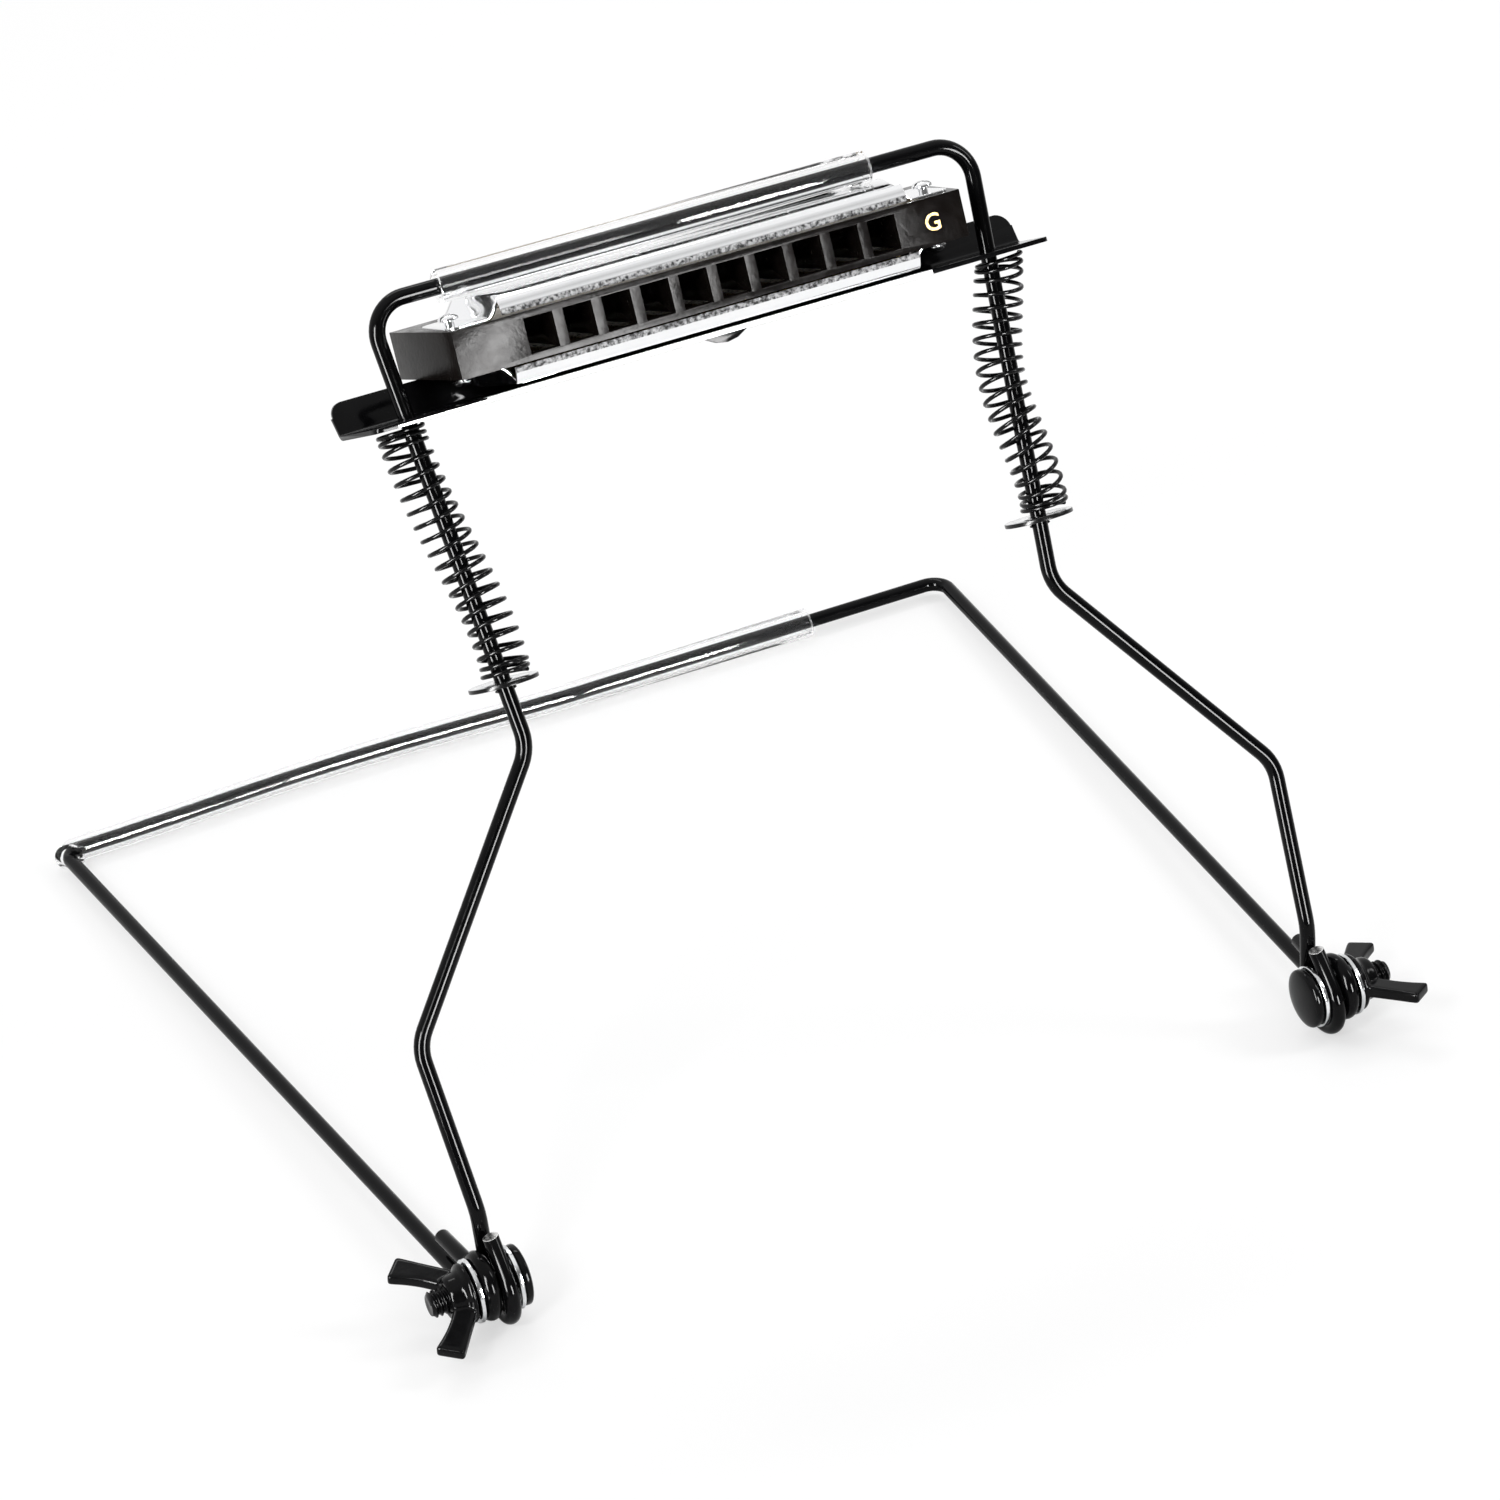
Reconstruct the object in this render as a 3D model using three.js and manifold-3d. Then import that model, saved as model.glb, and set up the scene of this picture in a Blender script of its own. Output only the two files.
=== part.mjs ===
// A neck-worn harmonica holder with a ten-hole harmonica clamped in it, standing on its two pivot eyes
// and its neck bar. Millimetres, +Z up, +X to the right, +Y towards the neck bar.
import * as THREE from "three";
import { mergeVertices } from "three/addons/utils/BufferGeometryUtils.js";
import Module from "manifold-3d";

const wasm = await Module();
wasm.setup();

// Clearances
const clearance = 0.3; // between pieces that touch on the real object
const overrun = 2; // how far a cutter passes the face that it cuts

// The bent steel wire of both frames
const wireRadius = 1.5;
const wireSides = 12;
const bendStepDeg = 15;

// The pivots
const pivotSpan = 173; // between the middles of the two stacks of eyes
const boltRadius = 2.5;
const boltProud = 11.4; // bolt end beyond the middle of the stack
const boltHeadRadius = 5.7;
const boltHeadEdge = 1;
const boltHeadDome = 1.1;
const boltEndChamfer = 0.5;
const pivotWasherRadius = 6;
const pivotWasherThickness = 0.8;

// The neck yoke: two arms, the neck bar and a pinched eye at each end
const yokeEyeRadius = 5.05;
const yokeEyeRise = 0.3; // centre of the eye above the bolt's axis
const yokeArmDrop = 2.9; // arm below the bolt's axis
const yokeTailRise = 1.6; // cut end above the bolt's axis
const yokeTailReach = 16.6;
const yokeTailSplay = 1.1; // cut end outwards of the eye
const yokePinchRadius = 3;
const yokeArmStart = 9; // where the arms start to spread
const yokeArmSplay = 0.8; // arm outwards of the eye where it starts to spread
const yokeReach = 194.3; // bolt's axis to the neck bar
const yokeBarSpan = 205.6;
const yokeCornerRadius = 4;
const yokeSpreadRadius = 20;
const neckBarBow = 2.3;
const neckBarBowShare = 0.62; // of the bar, from its left end, is bowed
const neckBarPieces = 10;

// The clear sleeves
const sleeveRadius = 2.75;
const sleeveSides = 16;
const neckSleeveEnd = 69.7; // right end, from the middle of the bar
const neckSleeveBareStations = 2; // of the left corner's bend, before the sleeve starts
const clampSleeveLeft = 46;
const clampSleeveRight = 40;

// The clamp frame, in its own leaning plane: places along the lean, from the bolt's axis
const leanDeg = 25.8;
const frameEyeRadius = 5.6;
const frameEyeDrop = 1.2; // centre of the eye below the bolt's axis
const frameTailDeg = 135; // where the cut end leaves the eye
const frameTailLength = 8.3;
const frameFootRadius = 9;
const frameFootSplay = 0.45; // foot outwards of the eye
const frameBendRadius = 8.5;
const frameTopRadius = 6.5;
const kneeHeight = 44.7;
const kneeSpan = 174.6;
const waistHeight = 89.7;
const waistSpan = 106;
const clampBarSpan = 119.2;

// The spring stops
const stopOverWaist = 11.9; // underside of each stop washer above the frame's waist
const stopWasherRadius = 6.5;
const stopWasherThickness = 1;
const stopEarReach = 2.5;
const stopEarHeight = 1.7;
const stopEarThickness = 0.9;

// The springs
const springRadius = 4.2;
const springWireRadius = 0.38;
const springTurns = 20;
const springClosedTurns = 2; // at each end
const springClosedPitch = 1.22;
const springSides = 5;
const springStepsPerTurn = 8;
const springLeftBow = { reach: 1.5, shift: -0.35, waves: 0.8, phaseDeg: 25 };
const springRightBow = { reach: 1.7, shift: -0.1, waves: 1.05, phaseDeg: 81 };

// The sprung shelf
const shelfTop = 151.7;
const shelfThickness = 0.85;
const shelfFront = 8.8; // in front of the wires
const shelfBend = 7.6; // behind the wires, where the flange starts to bend up
const shelfBendRadius = 1;
const shelfFrontSpan = 133.2;
const shelfBackSpan = 136.2;
const shelfCornerRadius = 1.5;
const flangeCornerRadius = 2.6;
const flangeAngleDeg = 64;
const shelfTravel = 30;
const slotSide = 0.5; // free space each side of a wire in its slot
const shelfLipPlace = 1;
const shelfLipWidth = 8.4;
const shelfLipDrop = 1.5;

// The harmonica: comb, reed plates, covers and screws
const harpTiltDeg = 5.5; // nose-down in the clamp
const harpFrontReach = 11.2; // its front edge, in front of the wires
const harpShift = 0.5; // its middle, to the right of the clamp's
const combFrontLength = 100;
const combFlare = 3; // how much wider each end is at the back
const combDepth = 26.5;
const combHeight = 8.7;
const holeCount = 10;
const holePitch = 7.5;
const holeWidth = 5.1;
const holeHeight = 6;
const chamberDepth = 20.5;
const combLip = 1.4; // wall in front of the reed plates
const reedPlateMargin = 3.2; // between its ends and the cover screws
const reedPlateThickness = 1;
const reedPlateBackMargin = 0.6;
const reedSlotWidth = 2.5;
const reedSlotStart = 4;
const longestSlot = 15;
const shortestSlot = 8.5;
const reedGap = 0.25;
const reedThickness = 0.3;
const reedRoot = 2;
const coverRise = 4;
const coverSheet = 0.5;
const coverFrontLength = 78.8;
const coverFlare = 6.4; // how much wider each end is at the back
const coverFront = 0.9;
const coverFoot = 0.5;
const coverSlopeRun = 4.2;
const coverCrownRun = 2.4;
const coverCrownDrop = 0.6;
const coverRearDrop = 0.5;
const tabMargin = 0.4; // of comb past the end of each tab
const tabFront = 3.2;
const tabBack = 18.6;
const tabCornerRadius = 2;
const screwMargin = 3; // from the comb's front corner along it
const screwBack = 9.4;
const screwRadius = 0.9;
const screwHeadRadius = 1.9;
const screwHeadHeight = 1.1;
const screwLength = 3.2;

// The wing nuts
const nutBaseRadius = 5;
const nutBaseHeight = 1.2;
const nutNeckRadius = 4.1;
const nutHeight = 5.2;
const nutCrown = 0.6;
const wingReach = 11.7;
const wingWidth = 4.4;
const wingThickness = 2.5;
const wingRoot = 3.1; // how far from the bolt's axis a wing's middle line starts
const wingBase = 1.6; // how far above the nut's seat it starts
const wingFlareDeg = 42;
const wingCornerRadius = 1.1;
const leftWingDeg = 14;
const rightWingDeg = -7;

// Worked-out places
const rad = THREE.MathUtils.degToRad;
const lean = rad(leanDeg);
const harpTilt = rad(harpTiltDeg);
const flangeAngle = rad(flangeAngleDeg);
const pivotMiddle = pivotSpan / 2;
const eyeOffset = wireRadius + clearance / 2;
const frameEyePlace = pivotMiddle - eyeOffset;
const yokeEyePlace = pivotMiddle + eyeOffset;
const pivotHeight = frameEyeDrop + frameEyeRadius + wireRadius;
const yokeDip = Math.asin((pivotHeight - yokeArmDrop - sleeveRadius) / yokeReach);
const sleeveBore = wireRadius + clearance;
const stopHeight = waistHeight + stopOverWaist;
const combBackLength = combFrontLength + 2 * combFlare;
const tabReach = combFrontLength / 2 - tabMargin;
const screwPlace = combFrontLength / 2 - screwMargin;
const reedPlateLength = 2 * (screwPlace - screwRadius - reedPlateMargin);
const innerWasherFace = frameEyePlace - wireRadius - clearance;
const outerWasherFace = yokeEyePlace + wireRadius + clearance;
const boltSeat = innerWasherFace - pivotWasherThickness - clearance;
const nutSeat = outerWasherFace + pivotWasherThickness + clearance;

// The harmonica's lower front edge lies where its lower cover clears the shelf's front edge.
const harpEdgeRun = (harpFrontReach - shelfFront - coverRise * Math.sin(harpTilt)) / Math.cos(harpTilt);
const harpHeight = shelfTop + clearance + coverRise * Math.cos(harpTilt) - harpEdgeRun * Math.sin(harpTilt);
const harpCrown = harpHeight + (combHeight + coverRise) / Math.cos(harpTilt)
  + harpFrontReach * Math.tan(harpTilt);
const clampBarHeight = harpCrown + (sleeveRadius + clearance) / Math.cos(harpTilt);

// The flange reaches up to the comb's underside.
const flangeRoot = shelfBend + shelfBendRadius * Math.sin(flangeAngle);
const flangeRise = shelfBendRadius * (1 - Math.cos(flangeAngle));
const combOverFlange = harpHeight + (flangeRoot + harpFrontReach) * Math.tan(harpTilt)
  - clearance / Math.cos(harpTilt) - shelfTop - flangeRise;
const flangeLength = combOverFlange / (Math.sin(flangeAngle) - Math.cos(flangeAngle) * Math.tan(harpTilt));

// Half the distance between the uprights at a height along the lean, above the waist.
function uprightPlace(height) {
  const share = (height - waistHeight) / (clampBarHeight - waistHeight);
  return THREE.MathUtils.lerp(waistSpan, clampBarSpan, share) / 2;
}

// Solid joins and cuts

function solidOf(geometry) {
  const bare = geometry.clone();
  bare.deleteAttribute("normal");
  bare.deleteAttribute("uv");
  const merged = mergeVertices(bare, 1e-4 * wireRadius);
  const mesh = new wasm.Mesh({
    numProp: 3,
    vertProperties: merged.attributes.position.array,
    triVerts: new Uint32Array(merged.index.array),
  });
  return new wasm.Manifold(mesh);
}

function geometryOf(solid) {
  const mesh = solid.getMesh();
  const geometry = new THREE.BufferGeometry();
  geometry.setAttribute("position", new THREE.BufferAttribute(new Float32Array(mesh.vertProperties), 3));
  geometry.setIndex(new THREE.BufferAttribute(new Uint32Array(mesh.triVerts), 1));
  geometry.computeVertexNormals();
  return geometry;
}

function joined(first, ...others) {
  let solid = solidOf(first);
  for (const other of others) solid = solid.add(solidOf(other));
  return geometryOf(solid);
}

function cut(body, ...cutters) {
  let solid = solidOf(body);
  for (const cutter of cutters) solid = solid.subtract(solidOf(cutter));
  return geometryOf(solid);
}

function common(first, ...others) {
  let solid = solidOf(first);
  for (const other of others) solid = solid.intersect(solidOf(other));
  return geometryOf(solid);
}

// Shapes that several pieces share

function blockBetween(low, high) {
  const size = new THREE.Vector3().subVectors(high, low);
  const middle = new THREE.Vector3().addVectors(low, high).multiplyScalar(0.5);
  return new THREE.BoxGeometry(size.x, size.y, size.z).translate(middle.x, middle.y, middle.z);
}

function polygon(radius, sides) {
  const points = [];
  for (let i = 0; i < sides; i += 1) {
    const angle = (2 * Math.PI * (i + 0.5)) / sides;
    points.push(new THREE.Vector2(radius * Math.cos(angle), radius * Math.sin(angle)));
  }
  return points;
}

// A prism on a shape drawn in X and Y, from one height to another.
function prism(shape, from, to, curveSegments = 4) {
  const options = { depth: to - from, bevelEnabled: false, curveSegments };
  return new THREE.ExtrudeGeometry(shape, options).translate(0, 0, from);
}

// A prism on a shape drawn in Y and Z, centred on X.
function prismAlongX(shape, length, curveSegments = 4) {
  const turn = new THREE.Matrix4().makeBasis(
    new THREE.Vector3(0, 1, 0),
    new THREE.Vector3(0, 0, 1),
    new THREE.Vector3(1, 0, 0),
  );
  return prism(shape, -length / 2, length / 2, curveSegments).applyMatrix4(turn);
}

// A prism on a shape drawn in X and Z, from one depth to another.
function prismAlongY(shape, from, to, curveSegments = 4) {
  return prism(shape, -to, -from, curveSegments).rotateX(Math.PI / 2);
}

// A turned piece whose axis is X, with its profile as [radius, place along X].
function turnedAlongX(profile, segments) {
  const points = profile.map(([radius, place]) => new THREE.Vector2(radius, place));
  return new THREE.LatheGeometry(points, segments).rotateZ(-Math.PI / 2);
}

function ring(bore, radius, thickness, segments = 28) {
  const edge = thickness / 5;
  const profile = [
    [bore, 0],
    [radius - edge, 0],
    [radius, edge],
    [radius, thickness - edge],
    [radius - edge, thickness],
    [bore, thickness],
    [bore, 0],
  ];
  const points = profile.map(([across, up]) => new THREE.Vector2(across, up));
  return new THREE.LatheGeometry(points, segments).rotateX(Math.PI / 2);
}

// A wire's middle line, with stations only where it bends.
class WirePath extends THREE.Curve {
  constructor(stations) {
    super();
    this.stations = stations;
  }

  getPoint(t, target = new THREE.Vector3()) {
    const last = this.stations.length - 1;
    const at = THREE.MathUtils.clamp(t, 0, 1) * last;
    const before = Math.min(Math.floor(at), last - 1);
    return target.copy(this.stations[before]).lerp(this.stations[before + 1], at - before);
  }

  getTangent(t, target = new THREE.Vector3()) {
    const last = this.stations.length - 1;
    const here = Math.round(THREE.MathUtils.clamp(t, 0, 1) * last);
    target.set(0, 0, 0);
    for (const start of [here - 1, here]) {
      if (start < 0 || start >= last) continue;
      const run = new THREE.Vector3().subVectors(this.stations[start + 1], this.stations[start]);
      target.add(run.normalize());
    }
    return target.normalize();
  }

  getUtoTmapping(u) {
    return u;
  }

  getSpacedPoints(divisions) {
    return this.getPoints(divisions);
  }
}

function swept(outline, stations, bore) {
  const shape = new THREE.Shape(outline);
  if (bore) shape.holes.push(new THREE.Path(bore));
  const steps = stations.length - 1;
  return new THREE.ExtrudeGeometry(shape, { steps, extrudePath: new WirePath(stations) });
}

function bentWire(stations) {
  return swept(polygon(wireRadius, wireSides), stations);
}

// Rounds the corners of a line. Each corner is a point, or a point with a bend radius.
function bent(corners) {
  const stations = [];
  corners.forEach(({ point, radius }, i) => {
    if (!radius) {
      stations.push(point);
      return;
    }
    const into = new THREE.Vector3().subVectors(point, corners[i - 1].point).normalize();
    const away = new THREE.Vector3().subVectors(corners[i + 1].point, point).normalize();
    const turn = into.angleTo(away);
    const inward = away.clone().addScaledVector(into, -into.dot(away)).normalize();
    const centre = point.clone().addScaledVector(into, -radius * Math.tan(turn / 2));
    centre.addScaledVector(inward, radius);
    const pieces = Math.max(2, Math.ceil(turn / rad(bendStepDeg)));
    for (let k = 0; k <= pieces; k += 1) {
      const angle = (turn * k) / pieces;
      const station = centre.clone().addScaledVector(inward, -radius * Math.cos(angle));
      stations.push(station.addScaledVector(into, radius * Math.sin(angle)));
    }
  });
  return stations;
}

// Corners of an arc in a plane across X.
function arcAcrossX(place, centreY, centreZ, radius, from, to) {
  const pieces = Math.ceil(Math.abs(to - from) / rad(bendStepDeg));
  const corners = [];
  for (let i = 0; i <= pieces; i += 1) {
    const angle = from + ((to - from) * i) / pieces;
    const y = centreY + radius * Math.cos(angle);
    corners.push({ point: new THREE.Vector3(place, y, centreZ + radius * Math.sin(angle)) });
  }
  return corners;
}

// The neck yoke

function yokeArmPoint(side) {
  return new THREE.Vector3(side * (yokeEyePlace + yokeArmSplay), yokeArmStart, -yokeArmDrop);
}

// From the cut end, round the pinched eye and onto the arm. The two runs that leave the eye are
// joined to it by reverse bends.
function yokeEye(side) {
  const place = side * yokeEyePlace;
  const reach = yokeEyeRadius + yokePinchRadius;
  const tailHeight = yokeTailRise - yokeEyeRise;
  const armHeight = yokeArmDrop + yokeEyeRise;
  const tailCentreZ = tailHeight + yokePinchRadius;
  const armCentreZ = armHeight + yokePinchRadius;
  const tailCentreY = Math.sqrt(reach ** 2 - tailCentreZ ** 2);
  const armCentreY = Math.sqrt(reach ** 2 - armCentreZ ** 2);
  const tailAngle = Math.atan2(tailCentreZ, tailCentreY);
  const armAngle = Math.atan2(armCentreZ, armCentreY);
  const tailBend = arcAcrossX(place, tailCentreY, yokeEyeRise + tailCentreZ, yokePinchRadius,
    -Math.PI / 2, tailAngle - Math.PI);
  const loop = arcAcrossX(place, 0, yokeEyeRise, yokeEyeRadius, tailAngle, 2 * Math.PI - armAngle);
  const armBend = arcAcrossX(place, armCentreY, yokeEyeRise - armCentreZ, yokePinchRadius,
    Math.PI - armAngle, Math.PI / 2);
  return [
    { point: new THREE.Vector3(place + side * yokeTailSplay, yokeTailReach, yokeTailRise) },
    ...tailBend,
    ...loop.slice(1, -1),
    ...armBend,
    { point: yokeArmPoint(side), radius: yokeSpreadRadius },
  ];
}

function neckBarCorner(side) {
  const point = new THREE.Vector3((side * yokeBarSpan) / 2, yokeReach, -yokeArmDrop);
  return { point, radius: yokeCornerRadius };
}

// The bar between its corners bows away on its left part.
function neckBarPoints() {
  const points = [];
  for (let i = 1; i < neckBarPieces; i += 1) {
    const share = (neckBarBowShare * i) / neckBarPieces;
    const bow = neckBarBow * Math.sin((Math.PI * i) / neckBarPieces) ** 2;
    const x = yokeBarSpan * (share - 1 / 2);
    points.push({ point: new THREE.Vector3(x, yokeReach + bow, -yokeArmDrop) });
  }
  return points;
}

function neckYoke() {
  const left = yokeEye(-1);
  const right = yokeEye(1).reverse();
  const corners = [...left, neckBarCorner(-1), ...neckBarPoints(), neckBarCorner(1), ...right];
  return bentWire(bent(corners));
}

// The sleeve starts inside the left corner's bend.
function neckSleeve() {
  const end = new THREE.Vector3(neckSleeveEnd, yokeReach, -yokeArmDrop);
  const corners = [{ point: yokeArmPoint(-1) }, neckBarCorner(-1), ...neckBarPoints(), { point: end }];
  const stations = bent(corners).slice(1 + neckSleeveBareStations);
  return swept(polygon(sleeveRadius, sleeveSides), stations, polygon(sleeveBore, wireSides));
}

// The clamp frame

// The eye stands upright at rest, so its places are turned back by the lean.
function frameEye(side) {
  const place = side * frameEyePlace;
  const loop = arcAcrossX(place, 0, -frameEyeDrop, frameEyeRadius, rad(frameTailDeg) - 2 * Math.PI, 0);
  const leaving = loop[0].point;
  const tailRun = frameTailLength * Math.SQRT1_2;
  const tail = new THREE.Vector3(place, leaving.y + tailRun, leaving.z + tailRun);
  const upright = [{ point: tail }, ...loop];
  upright.forEach(({ point }) => point.applyAxisAngle(new THREE.Vector3(1, 0, 0), lean));
  return upright;
}

function frameSide(side) {
  const footHeight = frameEyeRadius / Math.sin(lean);
  const footPlace = frameEyePlace + frameFootSplay;
  return [
    ...frameEye(side),
    { point: new THREE.Vector3(side * footPlace, 0, footHeight), radius: frameFootRadius },
    { point: new THREE.Vector3((side * kneeSpan) / 2, 0, kneeHeight), radius: frameBendRadius },
    { point: new THREE.Vector3((side * waistSpan) / 2, 0, waistHeight), radius: frameBendRadius },
    { point: new THREE.Vector3((side * clampBarSpan) / 2, 0, clampBarHeight), radius: frameTopRadius },
  ];
}

// The wire is pinched into two ears under each stop washer.
function stopEars(side) {
  const height = stopHeight - clearance - stopEarHeight / 2;
  const ears = new THREE.SphereGeometry(1, 12, 8);
  ears.scale(stopEarReach, stopEarThickness, stopEarHeight / 2);
  return ears.translate(side * uprightPlace(height), 0, height);
}

function clampFrame() {
  const corners = [...frameSide(-1), ...frameSide(1).reverse()];
  return joined(bentWire(bent(corners)), stopEars(-1), stopEars(1));
}

function clampSleeve() {
  const ends = [-clampSleeveLeft, clampSleeveRight];
  const stations = ends.map((x) => new THREE.Vector3(x, 0, clampBarHeight));
  return swept(polygon(sleeveRadius, sleeveSides), stations, polygon(sleeveBore, wireSides));
}

// The springs

const springFoot = stopHeight + stopWasherThickness + clearance;
const springHead = shelfTop - shelfThickness - clearance;

// The height of the coil's middle line after some turns: close turns at each end, even between.
function springHeight(turns) {
  const low = springFoot + springWireRadius;
  const high = springHead - springWireRadius;
  const closed = springClosedTurns * springClosedPitch;
  const open = (high - low - 2 * closed) / (springTurns - 2 * springClosedTurns);
  if (turns < springClosedTurns) return low + turns * springClosedPitch;
  if (turns > springTurns - springClosedTurns) return high - (springTurns - turns) * springClosedPitch;
  return low + closed + (turns - springClosedTurns) * open;
}

// The coil bows from side to side round its upright.
function springStations(side, bow) {
  const stations = [];
  const steps = springTurns * springStepsPerTurn;
  for (let i = 0; i <= steps; i += 1) {
    const turns = i / springStepsPerTurn;
    const height = springHeight(turns);
    const wave = Math.sin((2 * Math.PI * bow.waves * i) / steps + rad(bow.phaseDeg));
    const middle = side * uprightPlace(height) + bow.shift + bow.reach * wave;
    const angle = side * 2 * Math.PI * turns;
    const x = middle + springRadius * Math.cos(angle);
    stations.push(new THREE.Vector3(x, springRadius * Math.sin(angle), height));
  }
  return stations;
}

// The least gap between a coil's turns, from point to point of its middle line.
function leastGap(stations) {
  const half = springStepsPerTurn / 2;
  let least = Infinity;
  stations.forEach((station, i) => {
    stations.slice(i + half).forEach((other) => {
      least = Math.min(least, station.distanceTo(other));
    });
  });
  return least - 2 * springWireRadius;
}

function spring(side, bow) {
  const stations = springStations(side, bow);
  console.log("least gap between the turns of a spring:", leastGap(stations).toFixed(2), "mm");
  return swept(polygon(springWireRadius, springSides), stations);
}

// The shelf

function shelfProfile() {
  const under = shelfTop - shelfThickness;
  const outerRadius = shelfBendRadius + shelfThickness;
  const bendHeight = shelfTop + shelfBendRadius;
  const tipY = flangeRoot + flangeLength * Math.cos(flangeAngle);
  const tipZ = shelfTop + flangeRise + flangeLength * Math.sin(flangeAngle);
  const shape = new THREE.Shape();
  shape.moveTo(-shelfFront, under);
  shape.lineTo(shelfBend, under);
  shape.absarc(shelfBend, bendHeight, outerRadius, -Math.PI / 2, flangeAngle - Math.PI / 2);
  shape.lineTo(tipY + shelfThickness * Math.sin(flangeAngle), tipZ - shelfThickness * Math.cos(flangeAngle));
  shape.lineTo(tipY, tipZ);
  shape.absarc(shelfBend, bendHeight, shelfBendRadius, flangeAngle - Math.PI / 2, -Math.PI / 2, true);
  shape.lineTo(-shelfFront, shelfTop);
  return shape;
}

// The ends spread a little towards the back, with small round front corners.
function shelfPlan() {
  const spread = (shelfBackSpan - shelfFrontSpan) / 2;
  const depth = shelfFront + shelfBend;
  const slope = spread / depth;
  const back = 2 * depth;
  const backHalf = shelfFrontSpan / 2 + slope * (back + shelfFront);
  const r = shelfCornerRadius;
  const half = shelfFrontSpan / 2;
  const shape = new THREE.Shape();
  shape.moveTo(-half + r, -shelfFront);
  shape.lineTo(half - r, -shelfFront);
  shape.quadraticCurveTo(half, -shelfFront, half + slope * r, r - shelfFront);
  shape.lineTo(backHalf, back);
  shape.lineTo(-backHalf, back);
  shape.lineTo(-half - slope * r, r - shelfFront);
  shape.quadraticCurveTo(-half, -shelfFront, -half + r, -shelfFront);
  return shape;
}

function shelfFace() {
  const half = shelfBackSpan / 2;
  const low = shelfTop - shelfThickness - overrun;
  const high = shelfTop + flangeRise + flangeLength * Math.sin(flangeAngle);
  const r = flangeCornerRadius;
  const wide = half + overrun;
  const shape = new THREE.Shape();
  shape.moveTo(-wide, low);
  shape.lineTo(wide, low);
  shape.lineTo(wide, high - r);
  shape.lineTo(half, high - r);
  shape.absarc(half - r, high - r, r, 0, Math.PI / 2);
  shape.lineTo(-half + r, high);
  shape.absarc(-half + r, high - r, r, Math.PI / 2, Math.PI);
  shape.lineTo(-wide, high - r);
  return shape;
}

// A slot lets the upright through, and takes up the uprights' slant over the shelf's travel.
function shelfSlot(side) {
  const half = wireRadius + slotSide;
  const places = [shelfTop, shelfTop - shelfThickness - shelfTravel].map(uprightPlace);
  const outer = Math.max(...places) + slotSide;
  const inner = Math.min(...places) - slotSide;
  const shape = new THREE.Shape();
  shape.moveTo(inner, -half);
  shape.lineTo(outer, -half);
  shape.absarc(outer, 0, half, -Math.PI / 2, Math.PI / 2);
  shape.lineTo(inner, half);
  shape.absarc(inner, 0, half, Math.PI / 2, (3 * Math.PI) / 2);
  const slot = prism(shape, shelfTop - shelfThickness - overrun, shelfTop + overrun, 5);
  return side > 0 ? slot : slot.rotateZ(Math.PI);
}

function shelfLip() {
  const under = shelfTop - shelfThickness;
  const shape = new THREE.Shape();
  shape.moveTo(-shelfLipWidth / 2, under + shelfThickness / 2);
  shape.lineTo(-shelfLipWidth / 2, under);
  shape.quadraticCurveTo(0, under - 2 * shelfLipDrop, shelfLipWidth / 2, under);
  shape.lineTo(shelfLipWidth / 2, under + shelfThickness / 2);
  return prismAlongY(shape, -shelfFront, -shelfFront + shelfThickness).translate(shelfLipPlace, 0, 0);
}

function shelfPlate() {
  const depth = 2 * (shelfFront + shelfBend);
  const sheet = prismAlongX(shelfProfile(), shelfBackSpan + 2 * overrun);
  const plan = prism(shelfPlan(), shelfTop - shelfThickness - overrun, clampBarHeight);
  const face = prismAlongY(shelfFace(), -depth, depth);
  return cut(joined(common(sheet, plan, face), shelfLip()), shelfSlot(-1), shelfSlot(1));
}

// The pivot hardware

function pivotBolt(side) {
  const crown = boltSeat - boltHeadEdge - boltHeadDome;
  const end = pivotMiddle + boltProud;
  const profile = [[0, end], [boltRadius - boltEndChamfer, end], [boltRadius, end - boltEndChamfer]];
  profile.push([boltRadius, boltSeat], [boltHeadRadius, boltSeat]);
  const steps = 6;
  for (let i = 0; i <= steps; i += 1) {
    const angle = (Math.PI / 2) * (i / steps);
    const place = boltSeat - boltHeadEdge - boltHeadDome * Math.sin(angle);
    profile.push([i === steps ? 0 : boltHeadRadius * Math.cos(angle), i === steps ? crown : place]);
  }
  return turnedAlongX(profile.reverse(), 24).rotateY(side > 0 ? 0 : Math.PI);
}

function pivotWasher() {
  return ring(boltRadius + clearance, pivotWasherRadius, pivotWasherThickness).rotateY(Math.PI / 2);
}

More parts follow.
